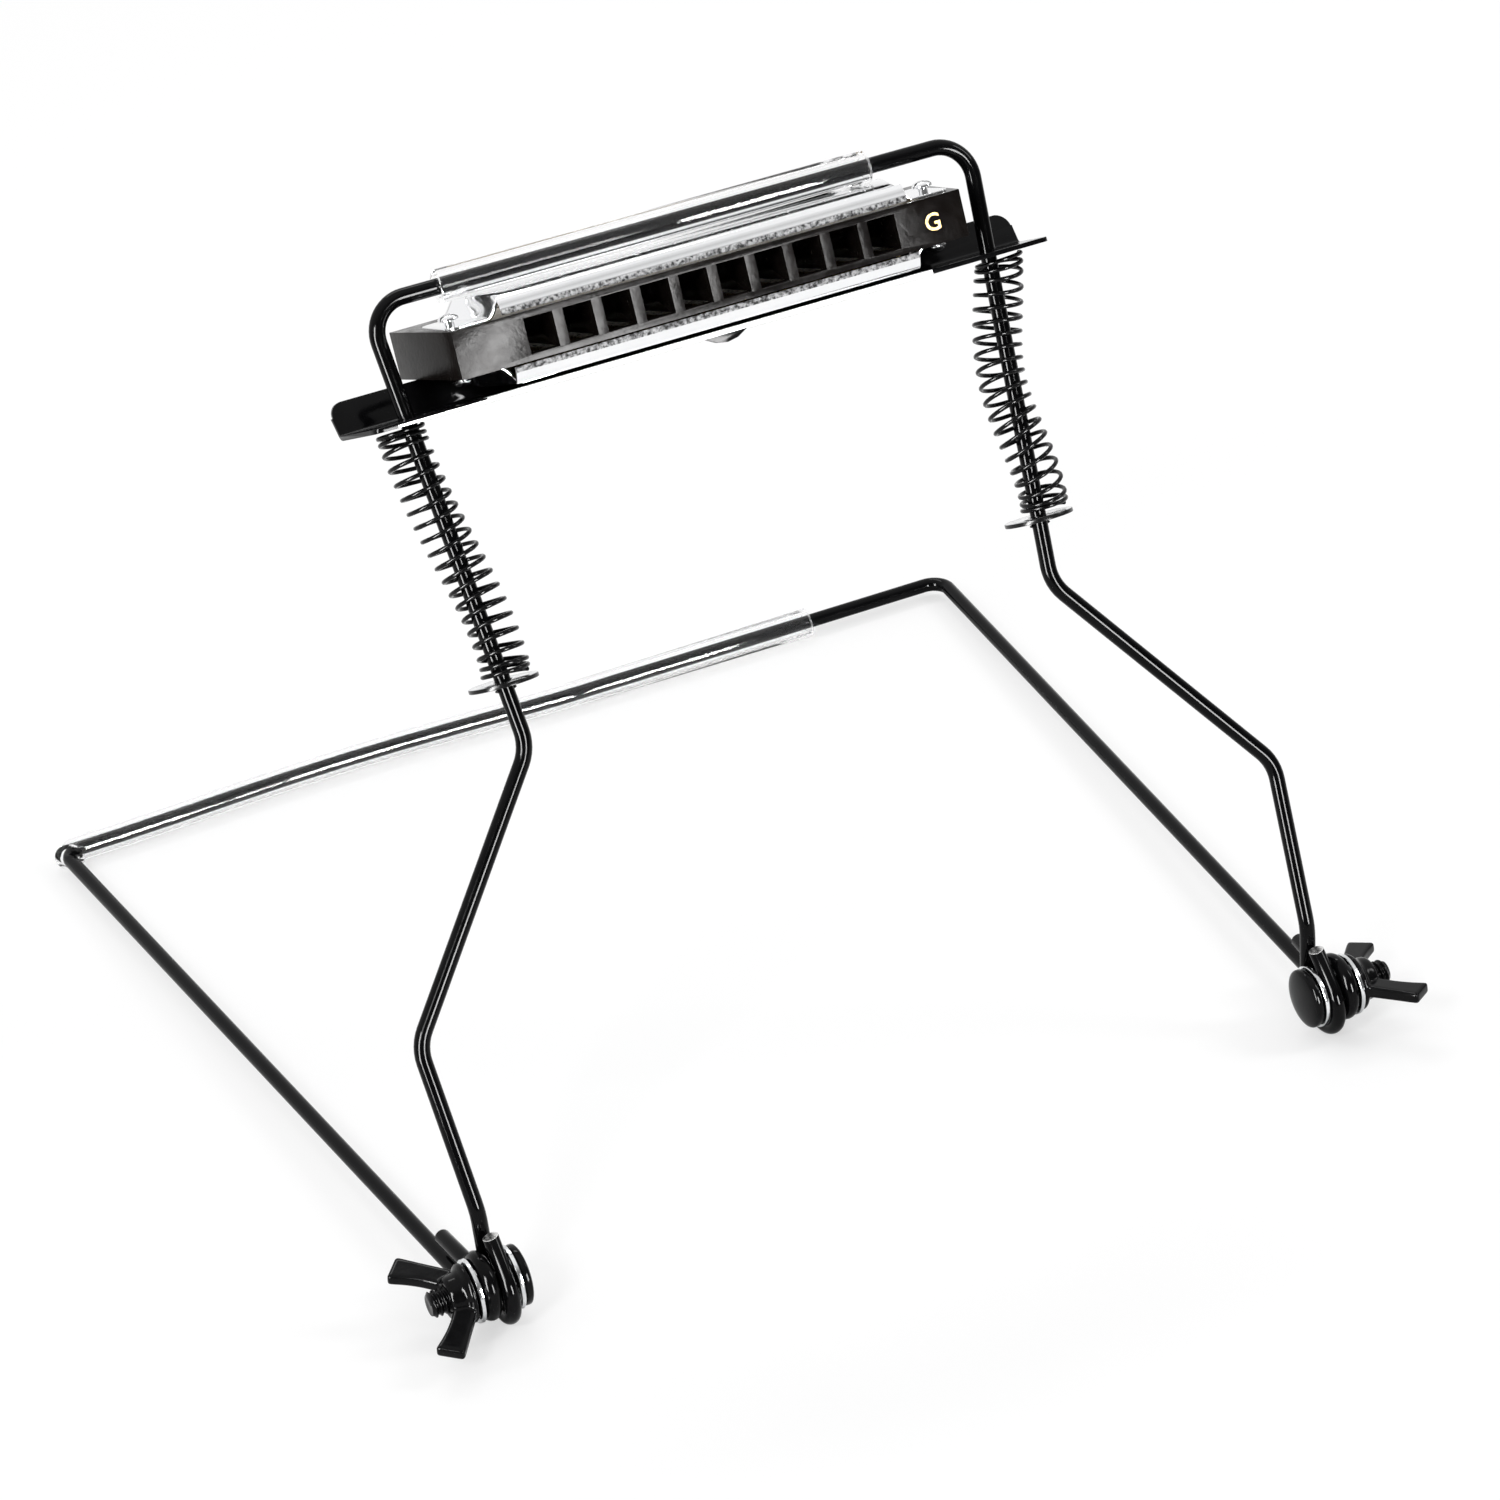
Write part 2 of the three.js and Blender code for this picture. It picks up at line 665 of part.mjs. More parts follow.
// One wing, in the plane of the bolt's axis: a straight blade that flares away from the seat.
function wing(turn) {
  const along = new THREE.Vector2(Math.cos(rad(wingFlareDeg)), Math.sin(rad(wingFlareDeg)));
  const across = new THREE.Vector2(-along.y, along.x);
  const length = (wingReach - wingRoot) / along.x;
  const corner = (run, rise) => new THREE.Vector2(wingRoot, wingBase)
    .addScaledVector(along, run)
    .addScaledVector(across, rise);
  const r = wingCornerRadius;
  const half = wingWidth / 2;
  const heel = nutBaseHeight / 2;
  const toe = corner((heel - wingBase + half * across.y) / along.y, -half);
  const low = corner(length - r, -half);
  const lowTip = corner(length, -half);
  const lowEnd = corner(length, -half + r);
  const highEnd = corner(length, half - r);
  const highTip = corner(length, half);
  const high = corner(length - r, half);
  const rootOut = corner(-wingRoot / 2, half);
  const shape = new THREE.Shape();
  shape.moveTo(0, heel);
  shape.lineTo(toe.x, toe.y);
  shape.lineTo(low.x, low.y);
  shape.quadraticCurveTo(lowTip.x, lowTip.y, lowEnd.x, lowEnd.y);
  shape.lineTo(highEnd.x, highEnd.y);
  shape.quadraticCurveTo(highTip.x, highTip.y, high.x, high.y);
  shape.lineTo(rootOut.x, rootOut.y);
  const blade = prism(shape, -wingThickness / 2, wingThickness / 2);
  return blade.rotateX(Math.PI / 2).rotateZ(turn);
}

// The nut stands on its seat, along +Z.
function wingNut() {
  const profile = [
    [0, 0],
    [nutBaseRadius, 0],
    [nutBaseRadius, nutBaseHeight],
    [nutNeckRadius, nutBaseHeight + nutCrown],
    [nutNeckRadius, nutHeight - nutCrown],
    [nutNeckRadius - nutCrown, nutHeight],
    [0, nutHeight],
  ];
  const points = profile.map(([across, up]) => new THREE.Vector2(across, up));
  const hub = new THREE.LatheGeometry(points, 24).rotateX(Math.PI / 2);
  const threadHole = prism(new THREE.Shape(polygon(boltRadius + clearance, 24)), -overrun, nutHeight + overrun);
  return cut(joined(hub, wing(0), wing(Math.PI)), threadHole);
}

// The harmonica, in its own frame: X along it, Y from its front edge to its back, Z up from the comb's
// underside.

const holePlaces = Array.from({ length: holeCount }, (unused, i) => (
  holePitch * (i - (holeCount - 1) / 2)
));
const recessDepth = reedPlateThickness + clearance;
const recessHalf = reedPlateLength / 2 + clearance;

function combPlan() {
  const shape = new THREE.Shape();
  shape.moveTo(-combFrontLength / 2, 0);
  shape.lineTo(combFrontLength / 2, 0);
  shape.lineTo(combBackLength / 2, combDepth);
  shape.lineTo(-combBackLength / 2, combDepth);
  return shape;
}

function chamber(x) {
  const half = holeWidth / 2;
  const low = (combHeight - holeHeight) / 2;
  const mouth = blockBetween(
    new THREE.Vector3(x - half, -overrun, low),
    new THREE.Vector3(x + half, chamberDepth, low + holeHeight),
  );
  const well = blockBetween(
    new THREE.Vector3(x - half, combLip, -overrun),
    new THREE.Vector3(x + half, chamberDepth, combHeight + overrun),
  );
  return [mouth, well];
}

function screwHole(x, radius) {
  const hole = new THREE.Shape(polygon(radius, 12));
  return prism(hole, -overrun, combHeight + overrun).translate(x, screwBack, 0);
}

function comb() {
  const block = prism(combPlan(), 0, combHeight);
  const recess = (low, high) => blockBetween(
    new THREE.Vector3(-recessHalf, combLip, low),
    new THREE.Vector3(recessHalf, combDepth + overrun, high),
  );
  const recesses = [recess(-overrun, recessDepth), recess(combHeight - recessDepth, combHeight + overrun)];
  const holes = [-screwPlace, screwPlace].map((x) => screwHole(x, screwRadius + clearance));
  return cut(block, ...recesses, ...holePlaces.flatMap(chamber), ...holes);
}

// Ten slots, longest for the lowest note, each with its reed riveted on the lower face.
function reedPlate() {
  const half = reedPlateLength / 2;
  const front = combLip + clearance;
  const plate = blockBetween(
    new THREE.Vector3(-half, front, 0),
    new THREE.Vector3(half, combDepth - reedPlateBackMargin, reedPlateThickness),
  );
  const slots = [];
  const reeds = [];
  holePlaces.forEach((x, i) => {
    const length = THREE.MathUtils.lerp(longestSlot, shortestSlot, i / (holeCount - 1));
    slots.push(blockBetween(
      new THREE.Vector3(x - reedSlotWidth / 2, reedSlotStart, -overrun),
      new THREE.Vector3(x + reedSlotWidth / 2, reedSlotStart + length, overrun),
    ));
    reeds.push(blockBetween(
      new THREE.Vector3(x - reedSlotWidth / 2 + reedGap, reedSlotStart + reedGap, -reedThickness),
      new THREE.Vector3(x + reedSlotWidth / 2 - reedGap, reedSlotStart + length + reedRoot, reedThickness / 2),
    ));
  });
  return joined(cut(plate, ...slots), ...reeds);
}

// The pressed cover's section from front to back, drawn in by a sheet's thickness for its inside.
function coverProfile(inset) {
  const top = coverRise - inset;
  const front = coverFront + inset;
  const foot = clearance - (inset ? overrun : 0);
  const back = coverBack + (inset ? overrun : 0);
  const crownStart = front + coverSlopeRun;
  const shape = new THREE.Shape();
  shape.moveTo(front, foot);
  shape.lineTo(back, foot);
  shape.lineTo(back, top - coverRearDrop);
  shape.lineTo(coverBack - coverRearDrop, top);
  shape.lineTo(crownStart + coverCrownRun, top);
  shape.quadraticCurveTo(crownStart + coverCrownRun / 2, top, crownStart, top - coverCrownDrop);
  shape.lineTo(front + coverFoot, clearance + 2 * coverFoot);
  shape.lineTo(front, clearance + coverFoot);
  return shape;
}

// Seen from above, its ends spread towards the back as the comb's do.
function coverEnds(inset) {
  const front = coverFrontLength / 2 - inset;
  const back = front + coverFlare;
  const slope = coverFlare / coverBack;
  const shape = new THREE.Shape();
  shape.moveTo(-front + slope * overrun, -overrun);
  shape.lineTo(front - slope * overrun, -overrun);
  shape.lineTo(back + slope * 2 * overrun, coverBack + 2 * overrun);
  shape.lineTo(-back - slope * 2 * overrun, coverBack + 2 * overrun);
  return prism(shape, -overrun, coverRise + overrun);
}

// The cover's back edge stands just in front of the shelf's flange.
const coverEdgeHeight = harpHeight - coverRise * Math.cos(harpTilt) - shelfTop - flangeRise;
const flangeAtCover = flangeRoot + (coverEdgeHeight + flangeRoot * Math.sin(harpTilt)) / Math.tan(flangeAngle);
const coverBack = (flangeAtCover - clearance / Math.sin(flangeAngle) + harpFrontReach
  - coverRise * Math.sin(harpTilt)) / Math.cos(harpTilt);

function coverTab(side) {
  const wallAt = (y) => coverFrontLength / 2 + (coverFlare * y) / coverBack - coverSheet;
  const r = tabCornerRadius;
  const shape = new THREE.Shape();
  shape.moveTo(side * wallAt(tabFront), tabFront);
  shape.lineTo(side * (tabReach - r), tabFront);
  shape.quadraticCurveTo(side * tabReach, tabFront, side * tabReach, tabFront + r);
  shape.lineTo(side * tabReach, tabBack - r);
  shape.quadraticCurveTo(side * tabReach, tabBack, side * (tabReach - r), tabBack);
  shape.lineTo(side * wallAt(tabBack), tabBack);
  return prism(shape, clearance, clearance + coverSheet);
}

function cover() {
  const outside = common(prismAlongX(coverProfile(0), combBackLength), coverEnds(0));
  const hollow = common(prismAlongX(coverProfile(coverSheet), combBackLength), coverEnds(coverSheet));
  const tabs = [coverTab(-1), coverTab(1)];
  const body = joined(outside, ...tabs);
  const holes = [-screwPlace, screwPlace].map((x) => screwHole(x, screwRadius + clearance));
  return cut(body, hollow, ...holes);
}

function coverScrew() {
  const seat = 2 * clearance + coverSheet;
  const profile = [
    [0, seat - screwLength],
    [screwRadius, seat - screwLength],
    [screwRadius, seat],
    [screwHeadRadius, seat],
    [screwHeadRadius, seat + screwHeadHeight / 2],
    [screwHeadRadius * Math.SQRT1_2, seat + screwHeadHeight * 0.9],
    [0, seat + screwHeadHeight],
  ];
  const points = profile.map(([across, up]) => new THREE.Vector2(across, up));
  return new THREE.LatheGeometry(points, 16).rotateX(Math.PI / 2);
}

// Finishes

const enamel = { color: 0x0b0b0c, roughness: 0.18, metalness: 0 };
const blackSpring = { color: 0x121214, roughness: 0.25, metalness: 0.3 };
const blackSheet = { color: 0x0d0d0e, roughness: 0.3, metalness: 0 };
const zinc = { color: 0xcfd0d2, roughness: 0.25, metalness: 1 };
const chrome = { color: 0xe8e9ea, roughness: 0.08, metalness: 1 };
const brass = { color: 0xc9a24a, roughness: 0.3, metalness: 1 };
const clearPlastic = { color: 0xe6e8ea, roughness: 0.1, metalness: 0, transparent: true, opacity: 0.4 };
const combPlastic = { color: 0x0f0d0c, roughness: 0.2, metalness: 0 };

function piece(name, geometry, finish) {
  const mesh = new THREE.Mesh(geometry, new THREE.MeshStandardMaterial(finish));
  mesh.name = name;
  return mesh;
}

// The assembly

const yokeGroup = new THREE.Group();
yokeGroup.position.set(0, 0, pivotHeight);
yokeGroup.rotation.x = -yokeDip;
yokeGroup.add(piece("neck_yoke", neckYoke(), enamel));
yokeGroup.add(piece("neck_sleeve", neckSleeve(), clearPlastic));

const frameGroup = new THREE.Group();
frameGroup.position.set(0, 0, pivotHeight);
frameGroup.rotation.x = -lean;
frameGroup.add(piece("clamp_frame", clampFrame(), enamel));
frameGroup.add(piece("clamp_sleeve", clampSleeve(), clearPlastic));
frameGroup.add(piece("shelf_plate", shelfPlate(), blackSheet));

const pivotGroup = new THREE.Group();
pivotGroup.position.set(0, 0, pivotHeight);

const sides = [
  { word: "left", side: -1, bow: springLeftBow, wings: leftWingDeg },
  { word: "right", side: 1, bow: springRightBow, wings: rightWingDeg },
];
for (const { word, side, bow, wings } of sides) {
  frameGroup.add(piece(`spring_${word}`, spring(side, bow), blackSpring));

  const stopBore = wireRadius + clearance;
  const stop = piece(`stop_washer_${word}`, ring(stopBore, stopWasherRadius, stopWasherThickness), zinc);
  stop.position.set(side * uprightPlace(stopHeight + stopWasherThickness / 2), 0, stopHeight);
  frameGroup.add(stop);

  pivotGroup.add(piece(`pivot_bolt_${word}`, pivotBolt(side), enamel));

  const inner = piece(`inner_washer_${word}`, pivotWasher(), zinc);
  inner.position.x = side * innerWasherFace - (side > 0 ? pivotWasherThickness : 0);
  const outer = piece(`outer_washer_${word}`, pivotWasher(), zinc);
  outer.position.x = side * outerWasherFace - (side > 0 ? 0 : pivotWasherThickness);
  pivotGroup.add(inner, outer);

  const nut = piece(`wing_nut_${word}`, wingNut(), enamel);
  const wingTurn = new THREE.Group();
  wingTurn.rotation.x = rad(wings);
  nut.rotation.set(0, (side * Math.PI) / 2, Math.PI / 2);
  nut.position.x = side * nutSeat;
  wingTurn.add(nut);
  pivotGroup.add(wingTurn);
}

const harmonica = new THREE.Group();
harmonica.position.set(harpShift, -harpFrontReach, harpHeight);
harmonica.rotation.x = harpTilt;
harmonica.add(piece("comb", comb(), combPlastic));

const lowerPlate = piece("lower_reed_plate", reedPlate(), brass);
const upperPlate = piece("upper_reed_plate", reedPlate(), brass);
upperPlate.position.z = combHeight - reedPlateThickness;
harmonica.add(lowerPlate, upperPlate);

const topCover = piece("top_cover", cover(), chrome);
topCover.position.z = combHeight;
const bottomCover = piece("bottom_cover", cover(), chrome);
bottomCover.scale.z = -1;
harmonica.add(topCover, bottomCover);

for (const { word, side } of sides) {
  const top = piece(`top_screw_${word}`, coverScrew(), chrome);
  top.position.set(side * screwPlace, screwBack, combHeight);
  const bottom = piece(`bottom_screw_${word}`, coverScrew(), chrome);
  bottom.position.set(side * screwPlace, screwBack, 0);
  bottom.rotation.x = Math.PI;
  harmonica.add(top, bottom);
}
frameGroup.add(harmonica);

// The origin is the middle of the footprint, on the surface that the holder stands on.
const holder = new THREE.Group();
holder.add(yokeGroup, frameGroup, pivotGroup);
holder.updateMatrixWorld(true);
const box = new THREE.Box3().setFromObject(holder, true);
const middle = box.getCenter(new THREE.Vector3());
holder.position.set(-middle.x, -middle.y, -box.min.z);

const part = new THREE.Group();
part.add(holder);

export default part;
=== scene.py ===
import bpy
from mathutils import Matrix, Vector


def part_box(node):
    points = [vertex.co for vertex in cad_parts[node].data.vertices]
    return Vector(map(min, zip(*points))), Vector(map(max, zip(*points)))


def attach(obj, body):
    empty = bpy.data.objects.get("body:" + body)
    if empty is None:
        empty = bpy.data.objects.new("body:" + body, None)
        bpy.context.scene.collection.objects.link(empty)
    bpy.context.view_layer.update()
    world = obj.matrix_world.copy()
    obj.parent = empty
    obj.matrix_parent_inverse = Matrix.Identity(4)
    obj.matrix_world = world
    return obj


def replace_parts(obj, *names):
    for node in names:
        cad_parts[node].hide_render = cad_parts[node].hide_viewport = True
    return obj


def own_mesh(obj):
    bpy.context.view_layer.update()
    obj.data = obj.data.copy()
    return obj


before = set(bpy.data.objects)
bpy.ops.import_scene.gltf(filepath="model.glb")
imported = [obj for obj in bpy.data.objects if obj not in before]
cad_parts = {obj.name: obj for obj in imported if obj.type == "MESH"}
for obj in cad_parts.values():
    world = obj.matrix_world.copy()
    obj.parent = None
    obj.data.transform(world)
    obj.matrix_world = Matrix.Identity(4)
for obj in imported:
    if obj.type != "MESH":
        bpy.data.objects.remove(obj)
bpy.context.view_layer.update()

import math

import bmesh
import bpy
from mathutils import Matrix, Vector

# The place where the holder stands
# A white table top that runs out of sight, in even daylight, seen from the front left and above.
# The pivots' line carries the camera's place, because both wires turn on it.
mm = 0.001
washer_ends = [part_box("inner_washer_left"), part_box("inner_washer_right")]
pivot = (washer_ends[0][0] + washer_ends[0][1] + washer_ends[1][0] + washer_ends[1][1]) / 4

camera_az = math.radians(22.26)
camera_el = math.radians(30.47)
camera_roll = math.radians(-5.95)
ahead = Vector((
    math.sin(camera_az) * math.cos(camera_el),
    math.cos(camera_az) * math.cos(camera_el),
    -math.sin(camera_el),
))
level_right = Vector((math.cos(camera_az), -math.sin(camera_az), 0))
level_up = level_right.cross(ahead)
right = level_right * math.cos(camera_roll) + level_up * math.sin(camera_roll)
up = level_up * math.cos(camera_roll) - level_right * math.sin(camera_roll)
camera_place = pivot + Vector((-312.12, -698.11, 534.57)) * mm
bpy.ops.object.select_all(action="DESELECT")
bpy.ops.object.camera_add()
camera = bpy.context.object
camera.name = "photo_camera"
turn = Matrix((right, up, -ahead)).transposed().to_4x4()
camera.matrix_world = Matrix.Translation(camera_place) @ turn
camera.data.lens = 121.53
camera.data.sensor_width = 36
camera.data.clip_start = 0.01
camera.data.clip_end = 20
bpy.context.scene.camera = camera
bpy.context.scene.view_settings.view_transform = "Standard"


def soft_lamp(name, place, aim, width, height, power):
    """A large flat lamp that faces a point."""
    bpy.ops.object.select_all(action="DESELECT")
    bpy.ops.object.light_add(type="AREA", location=place)
    lamp = bpy.context.object
    lamp.name = name
    lamp.data.shape = "RECTANGLE"
    lamp.data.size = width
    lamp.data.size_y = height
    lamp.data.energy = power
    lamp.rotation_euler = (Vector(aim) - Vector(place)).to_track_quat("-Z", "Y").to_euler()
    return lamp


soft_lamp("lamp_left", (-0.75, -0.6, 0.75), (0, 0, 0.06), 0.26, 0.26, 4)
soft_lamp("lamp_right", (0.85, -0.35, 0.7), (0, 0, 0.06), 0.2, 0.34, 3)
soft_lamp("lamp_back", (0.1, 0.7, 1.0), (0, 0, 0.06), 0.6, 0.16, 2.5)


def backdrop_rays(nodes, links):
    """One for a ray from the eye or through a clear sleeve, and nought for any other."""
    seen = nodes.new("ShaderNodeLightPath")
    either = nodes.new("ShaderNodeMath")
    either.operation = "MAXIMUM"
    links.new(seen.outputs["Is Camera Ray"], either.inputs[0])
    links.new(seen.outputs["Is Transmission Ray"], either.inputs[1])
    return either.outputs["Value"]


# Two tall windows stand in front. They are too far off to light the table: only gloss shows them.
for name, place, width, height, power in (
    ("window_left", (-1.0, -0.55, 0.5), 0.28, 0.9, 60),
    ("window_right", (0.22, -1.15, 0.33), 0.28, 0.5, 34),
):
    window = soft_lamp(name, place, (0, 0, place[2]), width, height, power)
    window.visible_diffuse = False

# The background is white where the eye or a clear sleeve sees it. A polished face sees it white
# only behind and above the holder, because the room in front is dimmer.
world = bpy.data.worlds.new("white_room")
bpy.context.scene.world = world
world.use_nodes = True
nodes = world.node_tree.nodes
links = world.node_tree.links
nodes.clear()
background = nodes.new("ShaderNodeBackground")
background.inputs["Color"].default_value = (1, 1, 1, 1)
direction = nodes.new("ShaderNodeTexCoord")
apart = nodes.new("ShaderNodeSeparateXYZ")
links.new(direction.outputs["Generated"], apart.inputs["Vector"])
back_and_up = nodes.new("ShaderNodeMath")
back_and_up.operation = "ADD"
links.new(apart.outputs["Y"], back_and_up.inputs[0])
links.new(apart.outputs["Z"], back_and_up.inputs[1])
room = nodes.new("ShaderNodeMapRange")
room.interpolation_type = "SMOOTHSTEP"
room.inputs["From Min"].default_value = -0.2
room.inputs["From Max"].default_value = 0.9
room.inputs["To Min"].default_value = 0.15
room.inputs["To Max"].default_value = 1
links.new(back_and_up.outputs["Value"], room.inputs["Value"])
strength = nodes.new("ShaderNodeMix")
strength.data_type = "FLOAT"
strength.inputs["B"].default_value = 1
links.new(room.outputs["Result"], strength.inputs["A"])
links.new(backdrop_rays(nodes, links), strength.inputs["Factor"])
links.new(strength.outputs["Result"], background.inputs["Strength"])
sky = nodes.new("ShaderNodeOutputWorld")
links.new(background.outputs["Background"], sky.inputs["Surface"])

bpy.ops.object.select_all(action="DESELECT")
bpy.ops.mesh.primitive_grid_add(x_subdivisions=4, y_subdivisions=4, size=12, location=(0, 0, 0))
table_top = bpy.context.object
table_top.name = "table_top"
bpy.ops.object.transform_apply(location=True, rotation=True, scale=True)
table_paper = bpy.data.materials.new("table_paper")
table_paper.use_nodes = True
nodes = table_paper.node_tree.nodes
links = table_paper.node_tree.links
nodes.clear()
paper = nodes.new("ShaderNodeBsdfDiffuse")
paper.inputs["Color"].default_value = (0.9, 0.9, 0.9, 1)
glow = nodes.new("ShaderNodeEmission")
glow.inputs["Color"].default_value = (1, 1, 1, 1)
share = nodes.new("ShaderNodeMath")
share.operation = "MULTIPLY"
share.inputs[1].default_value = 0.6
links.new(backdrop_rays(nodes, links), share.inputs[0])
mixed = nodes.new("ShaderNodeMixShader")
links.new(share.outputs["Value"], mixed.inputs[0])
links.new(paper.outputs["BSDF"], mixed.inputs[1])
links.new(glow.outputs["Emission"], mixed.inputs[2])
top = nodes.new("ShaderNodeOutputMaterial")
links.new(mixed.outputs["Shader"], top.inputs["Surface"])
table_top.data.materials.append(table_paper)

# The neck yoke
# One 3 mm steel wire, bent cold: a pinched eye, an arm, the bar behind the neck, an arm and an eye.
# It is dipped in gloss black enamel, which also rounds its cut ends.
wire_radius = 1.5
yoke_eye_place = 88.15
yoke_eye_radius = 5.05
yoke_eye_rise = 0.3
yoke_pinch_radius = 3
yoke_arm_drop = 2.9
yoke_tail_rise = 1.6
yoke_tail_reach = 16.6
yoke_tail_splay = 1.1
yoke_arm_start = 9
yoke_arm_splay = 0.8
yoke_reach = 194.3
yoke_bar_half = 102.8
yoke_corner_radius = 4
pivot_height = 8.3
sleeve_radius = 2.75
yoke_dip = math.asin((pivot_height - yoke_arm_drop - sleeve_radius) / yoke_reach)
arm_bend_radius = 20
bar_bow = 2.3
bar_bow_radius = 90
bar_bow_share = 0.62
bar_pieces = 10
bend_part = 70
bend_step = 7


def on_yoke(x, y, z):
    """A place on the yoke, in millimetres from the pivots' line, as a point of the scene."""
    return pivot + mm * Vector((
        x,
        y * math.cos(yoke_dip) + z * math.sin(yoke_dip),
        z * math.cos(yoke_dip) - y * math.sin(yoke_dip),
    ))


def round_eye(place, x, centre_y, centre_z, radius, start, stop):
    """Corners of a bend round a point, in the plane across X, between two angles in degrees."""
    bends = max(1, math.ceil(abs(stop - start) / bend_part))
    part = (stop - start) / bends
    reach = radius / math.cos(math.radians(part / 2))
    corners = []
    for i in range(bends):
        angle = math.radians(start + part * (i + 0.5))
        point = place(x, centre_y + reach * math.cos(angle), centre_z + reach * math.sin(angle))
        corners.append((point, radius * mm))
    return corners


def draw_wire(name, radius, route, sides=20, filled=True):
    """Draws a round wire: its section is pulled along each run and spun round each bend."""
    corners = [Vector(point) for point, _ in route]
    here = corners[0]
    heading = (corners[1] - here).normalized()
    bpy.ops.object.select_all(action="DESELECT")
    bpy.ops.mesh.primitive_circle_add(
        vertices=sides, radius=radius * mm, fill_type="NGON" if filled else "NOTHING",
        location=here, rotation=heading.to_track_quat("Z", "Y").to_euler(),
    )
    wire = bpy.context.object
    wire.name = name
    bpy.ops.object.transform_apply(location=True, rotation=True, scale=True)
    bpy.ops.object.mode_set(mode="EDIT")
    bpy.ops.mesh.select_all(action="SELECT")
    for i in range(1, len(route)):
        last = i == len(route) - 1
        onward = heading if last else (corners[i + 1] - corners[i]).normalized()
        bend_radius = 0 if last else route[i][1]
        bend = heading.angle(onward)
        run = corners[i] - heading * bend_radius * math.tan(bend / 2) - here
        if run.length > 0.02 * mm:
            bpy.ops.mesh.extrude_region_move(TRANSFORM_OT_translate={"value": run})
            here = here + run
        if last or bend < 1e-4:
            continue
        axis = heading.cross(onward).normalized()
        inward = axis.cross(heading)
        centre = here + inward * bend_radius
        steps = max(2, math.ceil(math.degrees(bend) / bend_step))
        bpy.ops.mesh.spin(steps=steps, angle=-bend, center=centre, axis=axis)
        here = centre + Matrix.Rotation(bend, 3, axis) @ (here - centre)
        heading = onward
    bpy.ops.mesh.select_all(action="SELECT")
    bpy.ops.mesh.remove_doubles(threshold=0.001 * mm)
    bpy.ops.mesh.normals_make_consistent(inside=False)
    bpy.ops.object.mode_set(mode="OBJECT")
    return wire


def round_cut_ends(wire, size):
    """Takes the edge off the two cut ends of a wire."""
    mesh = wire.data
    bpy.context.view_layer.objects.active = wire
    bpy.ops.object.mode_set(mode="EDIT")
    bpy.ops.mesh.select_mode(type="FACE")
    bpy.ops.mesh.select_all(action="DESELECT")
    shape = bmesh.from_edit_mesh(mesh)
    for face in shape.faces:
        face.select = len(face.verts) > 4
    shape.select_flush(True)
    bmesh.update_edit_mesh(mesh)
    bpy.ops.mesh.bevel(offset=size * mm, segments=3, affect="EDGES")
    bpy.ops.mesh.select_mode(type="VERT")
    bpy.ops.object.mode_set(mode="OBJECT")


def pick(*pieces):
    """Selects these pieces alone, and the last of them is the active one."""
    bpy.ops.object.select_all(action="DESELECT")
    for piece in pieces:
        piece.select_set(True)
    bpy.context.view_layer.objects.active = pieces[-1]


def smooth(piece, angle=35):
    """Rounds the shading except over edges that are sharper than the angle."""
    pick(piece)
    bpy.ops.object.shade_smooth_by_angle(angle=math.radians(angle))


def dress(piece, body, slot, material, *stands_for):
    """Gives a piece its material, the body that it moves with and the node that it stands for."""
    piece.data.materials.clear()
    piece.data.materials.append(material)
    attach(piece, body)
    if stands_for:
        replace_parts(piece, *stands_for)


def add_socket(group, name, way, kind, value=None):
    """Adds a named input or output to a node group."""
    socket = group.interface.new_socket(name=name, in_out=way, socket_type=kind)
    if value is not None:
        socket.default_value = value


# Uneven: slow cloudy change over a surface, between two values, with its height for a bump.
uneven = bpy.data.node_groups.new("uneven", "ShaderNodeTree")
add_socket(uneven, "Size", "INPUT", "NodeSocketFloat", 0.01)
add_socket(uneven, "Least", "INPUT", "NodeSocketFloat", 0.0)
add_socket(uneven, "Most", "INPUT", "NodeSocketFloat", 1.0)
add_socket(uneven, "Value", "OUTPUT", "NodeSocketFloat")
add_socket(uneven, "Height", "OUTPUT", "NodeSocketFloat")
nodes = uneven.nodes
links = uneven.links
given = nodes.new("NodeGroupInput")
result = nodes.new("NodeGroupOutput")
place = nodes.new("ShaderNodeTexCoord")
grow = nodes.new("ShaderNodeMath")
grow.operation = "DIVIDE"
grow.inputs[0].default_value = 1
links.new(given.outputs["Size"], grow.inputs[1])
clouds = nodes.new("ShaderNodeTexNoise")
clouds.inputs["Detail"].default_value = 4
clouds.inputs["Roughness"].default_value = 0.55
links.new(place.outputs["Object"], clouds.inputs["Vector"])
links.new(grow.outputs["Value"], clouds.inputs["Scale"])
span = nodes.new("ShaderNodeMapRange")
span.inputs["From Min"].default_value = 0.3
span.inputs["From Max"].default_value = 0.7
links.new(clouds.outputs["Fac"], span.inputs["Value"])
links.new(given.outputs["Least"], span.inputs["To Min"])
links.new(given.outputs["Most"], span.inputs["To Max"])
links.new(span.outputs["Result"], result.inputs["Value"])
links.new(clouds.outputs["Fac"], result.inputs["Height"])


def place_group(material, group, **values):
    """Places a node group in a material, with its own values."""
    node = material.node_tree.nodes.new("ShaderNodeGroup")
    node.node_tree = group
    for name, value in values.items():
        node.inputs[name].default_value = value
    return node


def two_tone(material, mask, first, second, into):
    """Mixes two colours by a mask into a socket."""
    mix = material.node_tree.nodes.new("ShaderNodeMix")
    mix.data_type = "RGBA"
    mix.inputs["A"].default_value = (*first, 1)
    mix.inputs["B"].default_value = (*second, 1)
    material.node_tree.links.new(mask, mix.inputs["Factor"])
    material.node_tree.links.new(mix.outputs["Result"], into)


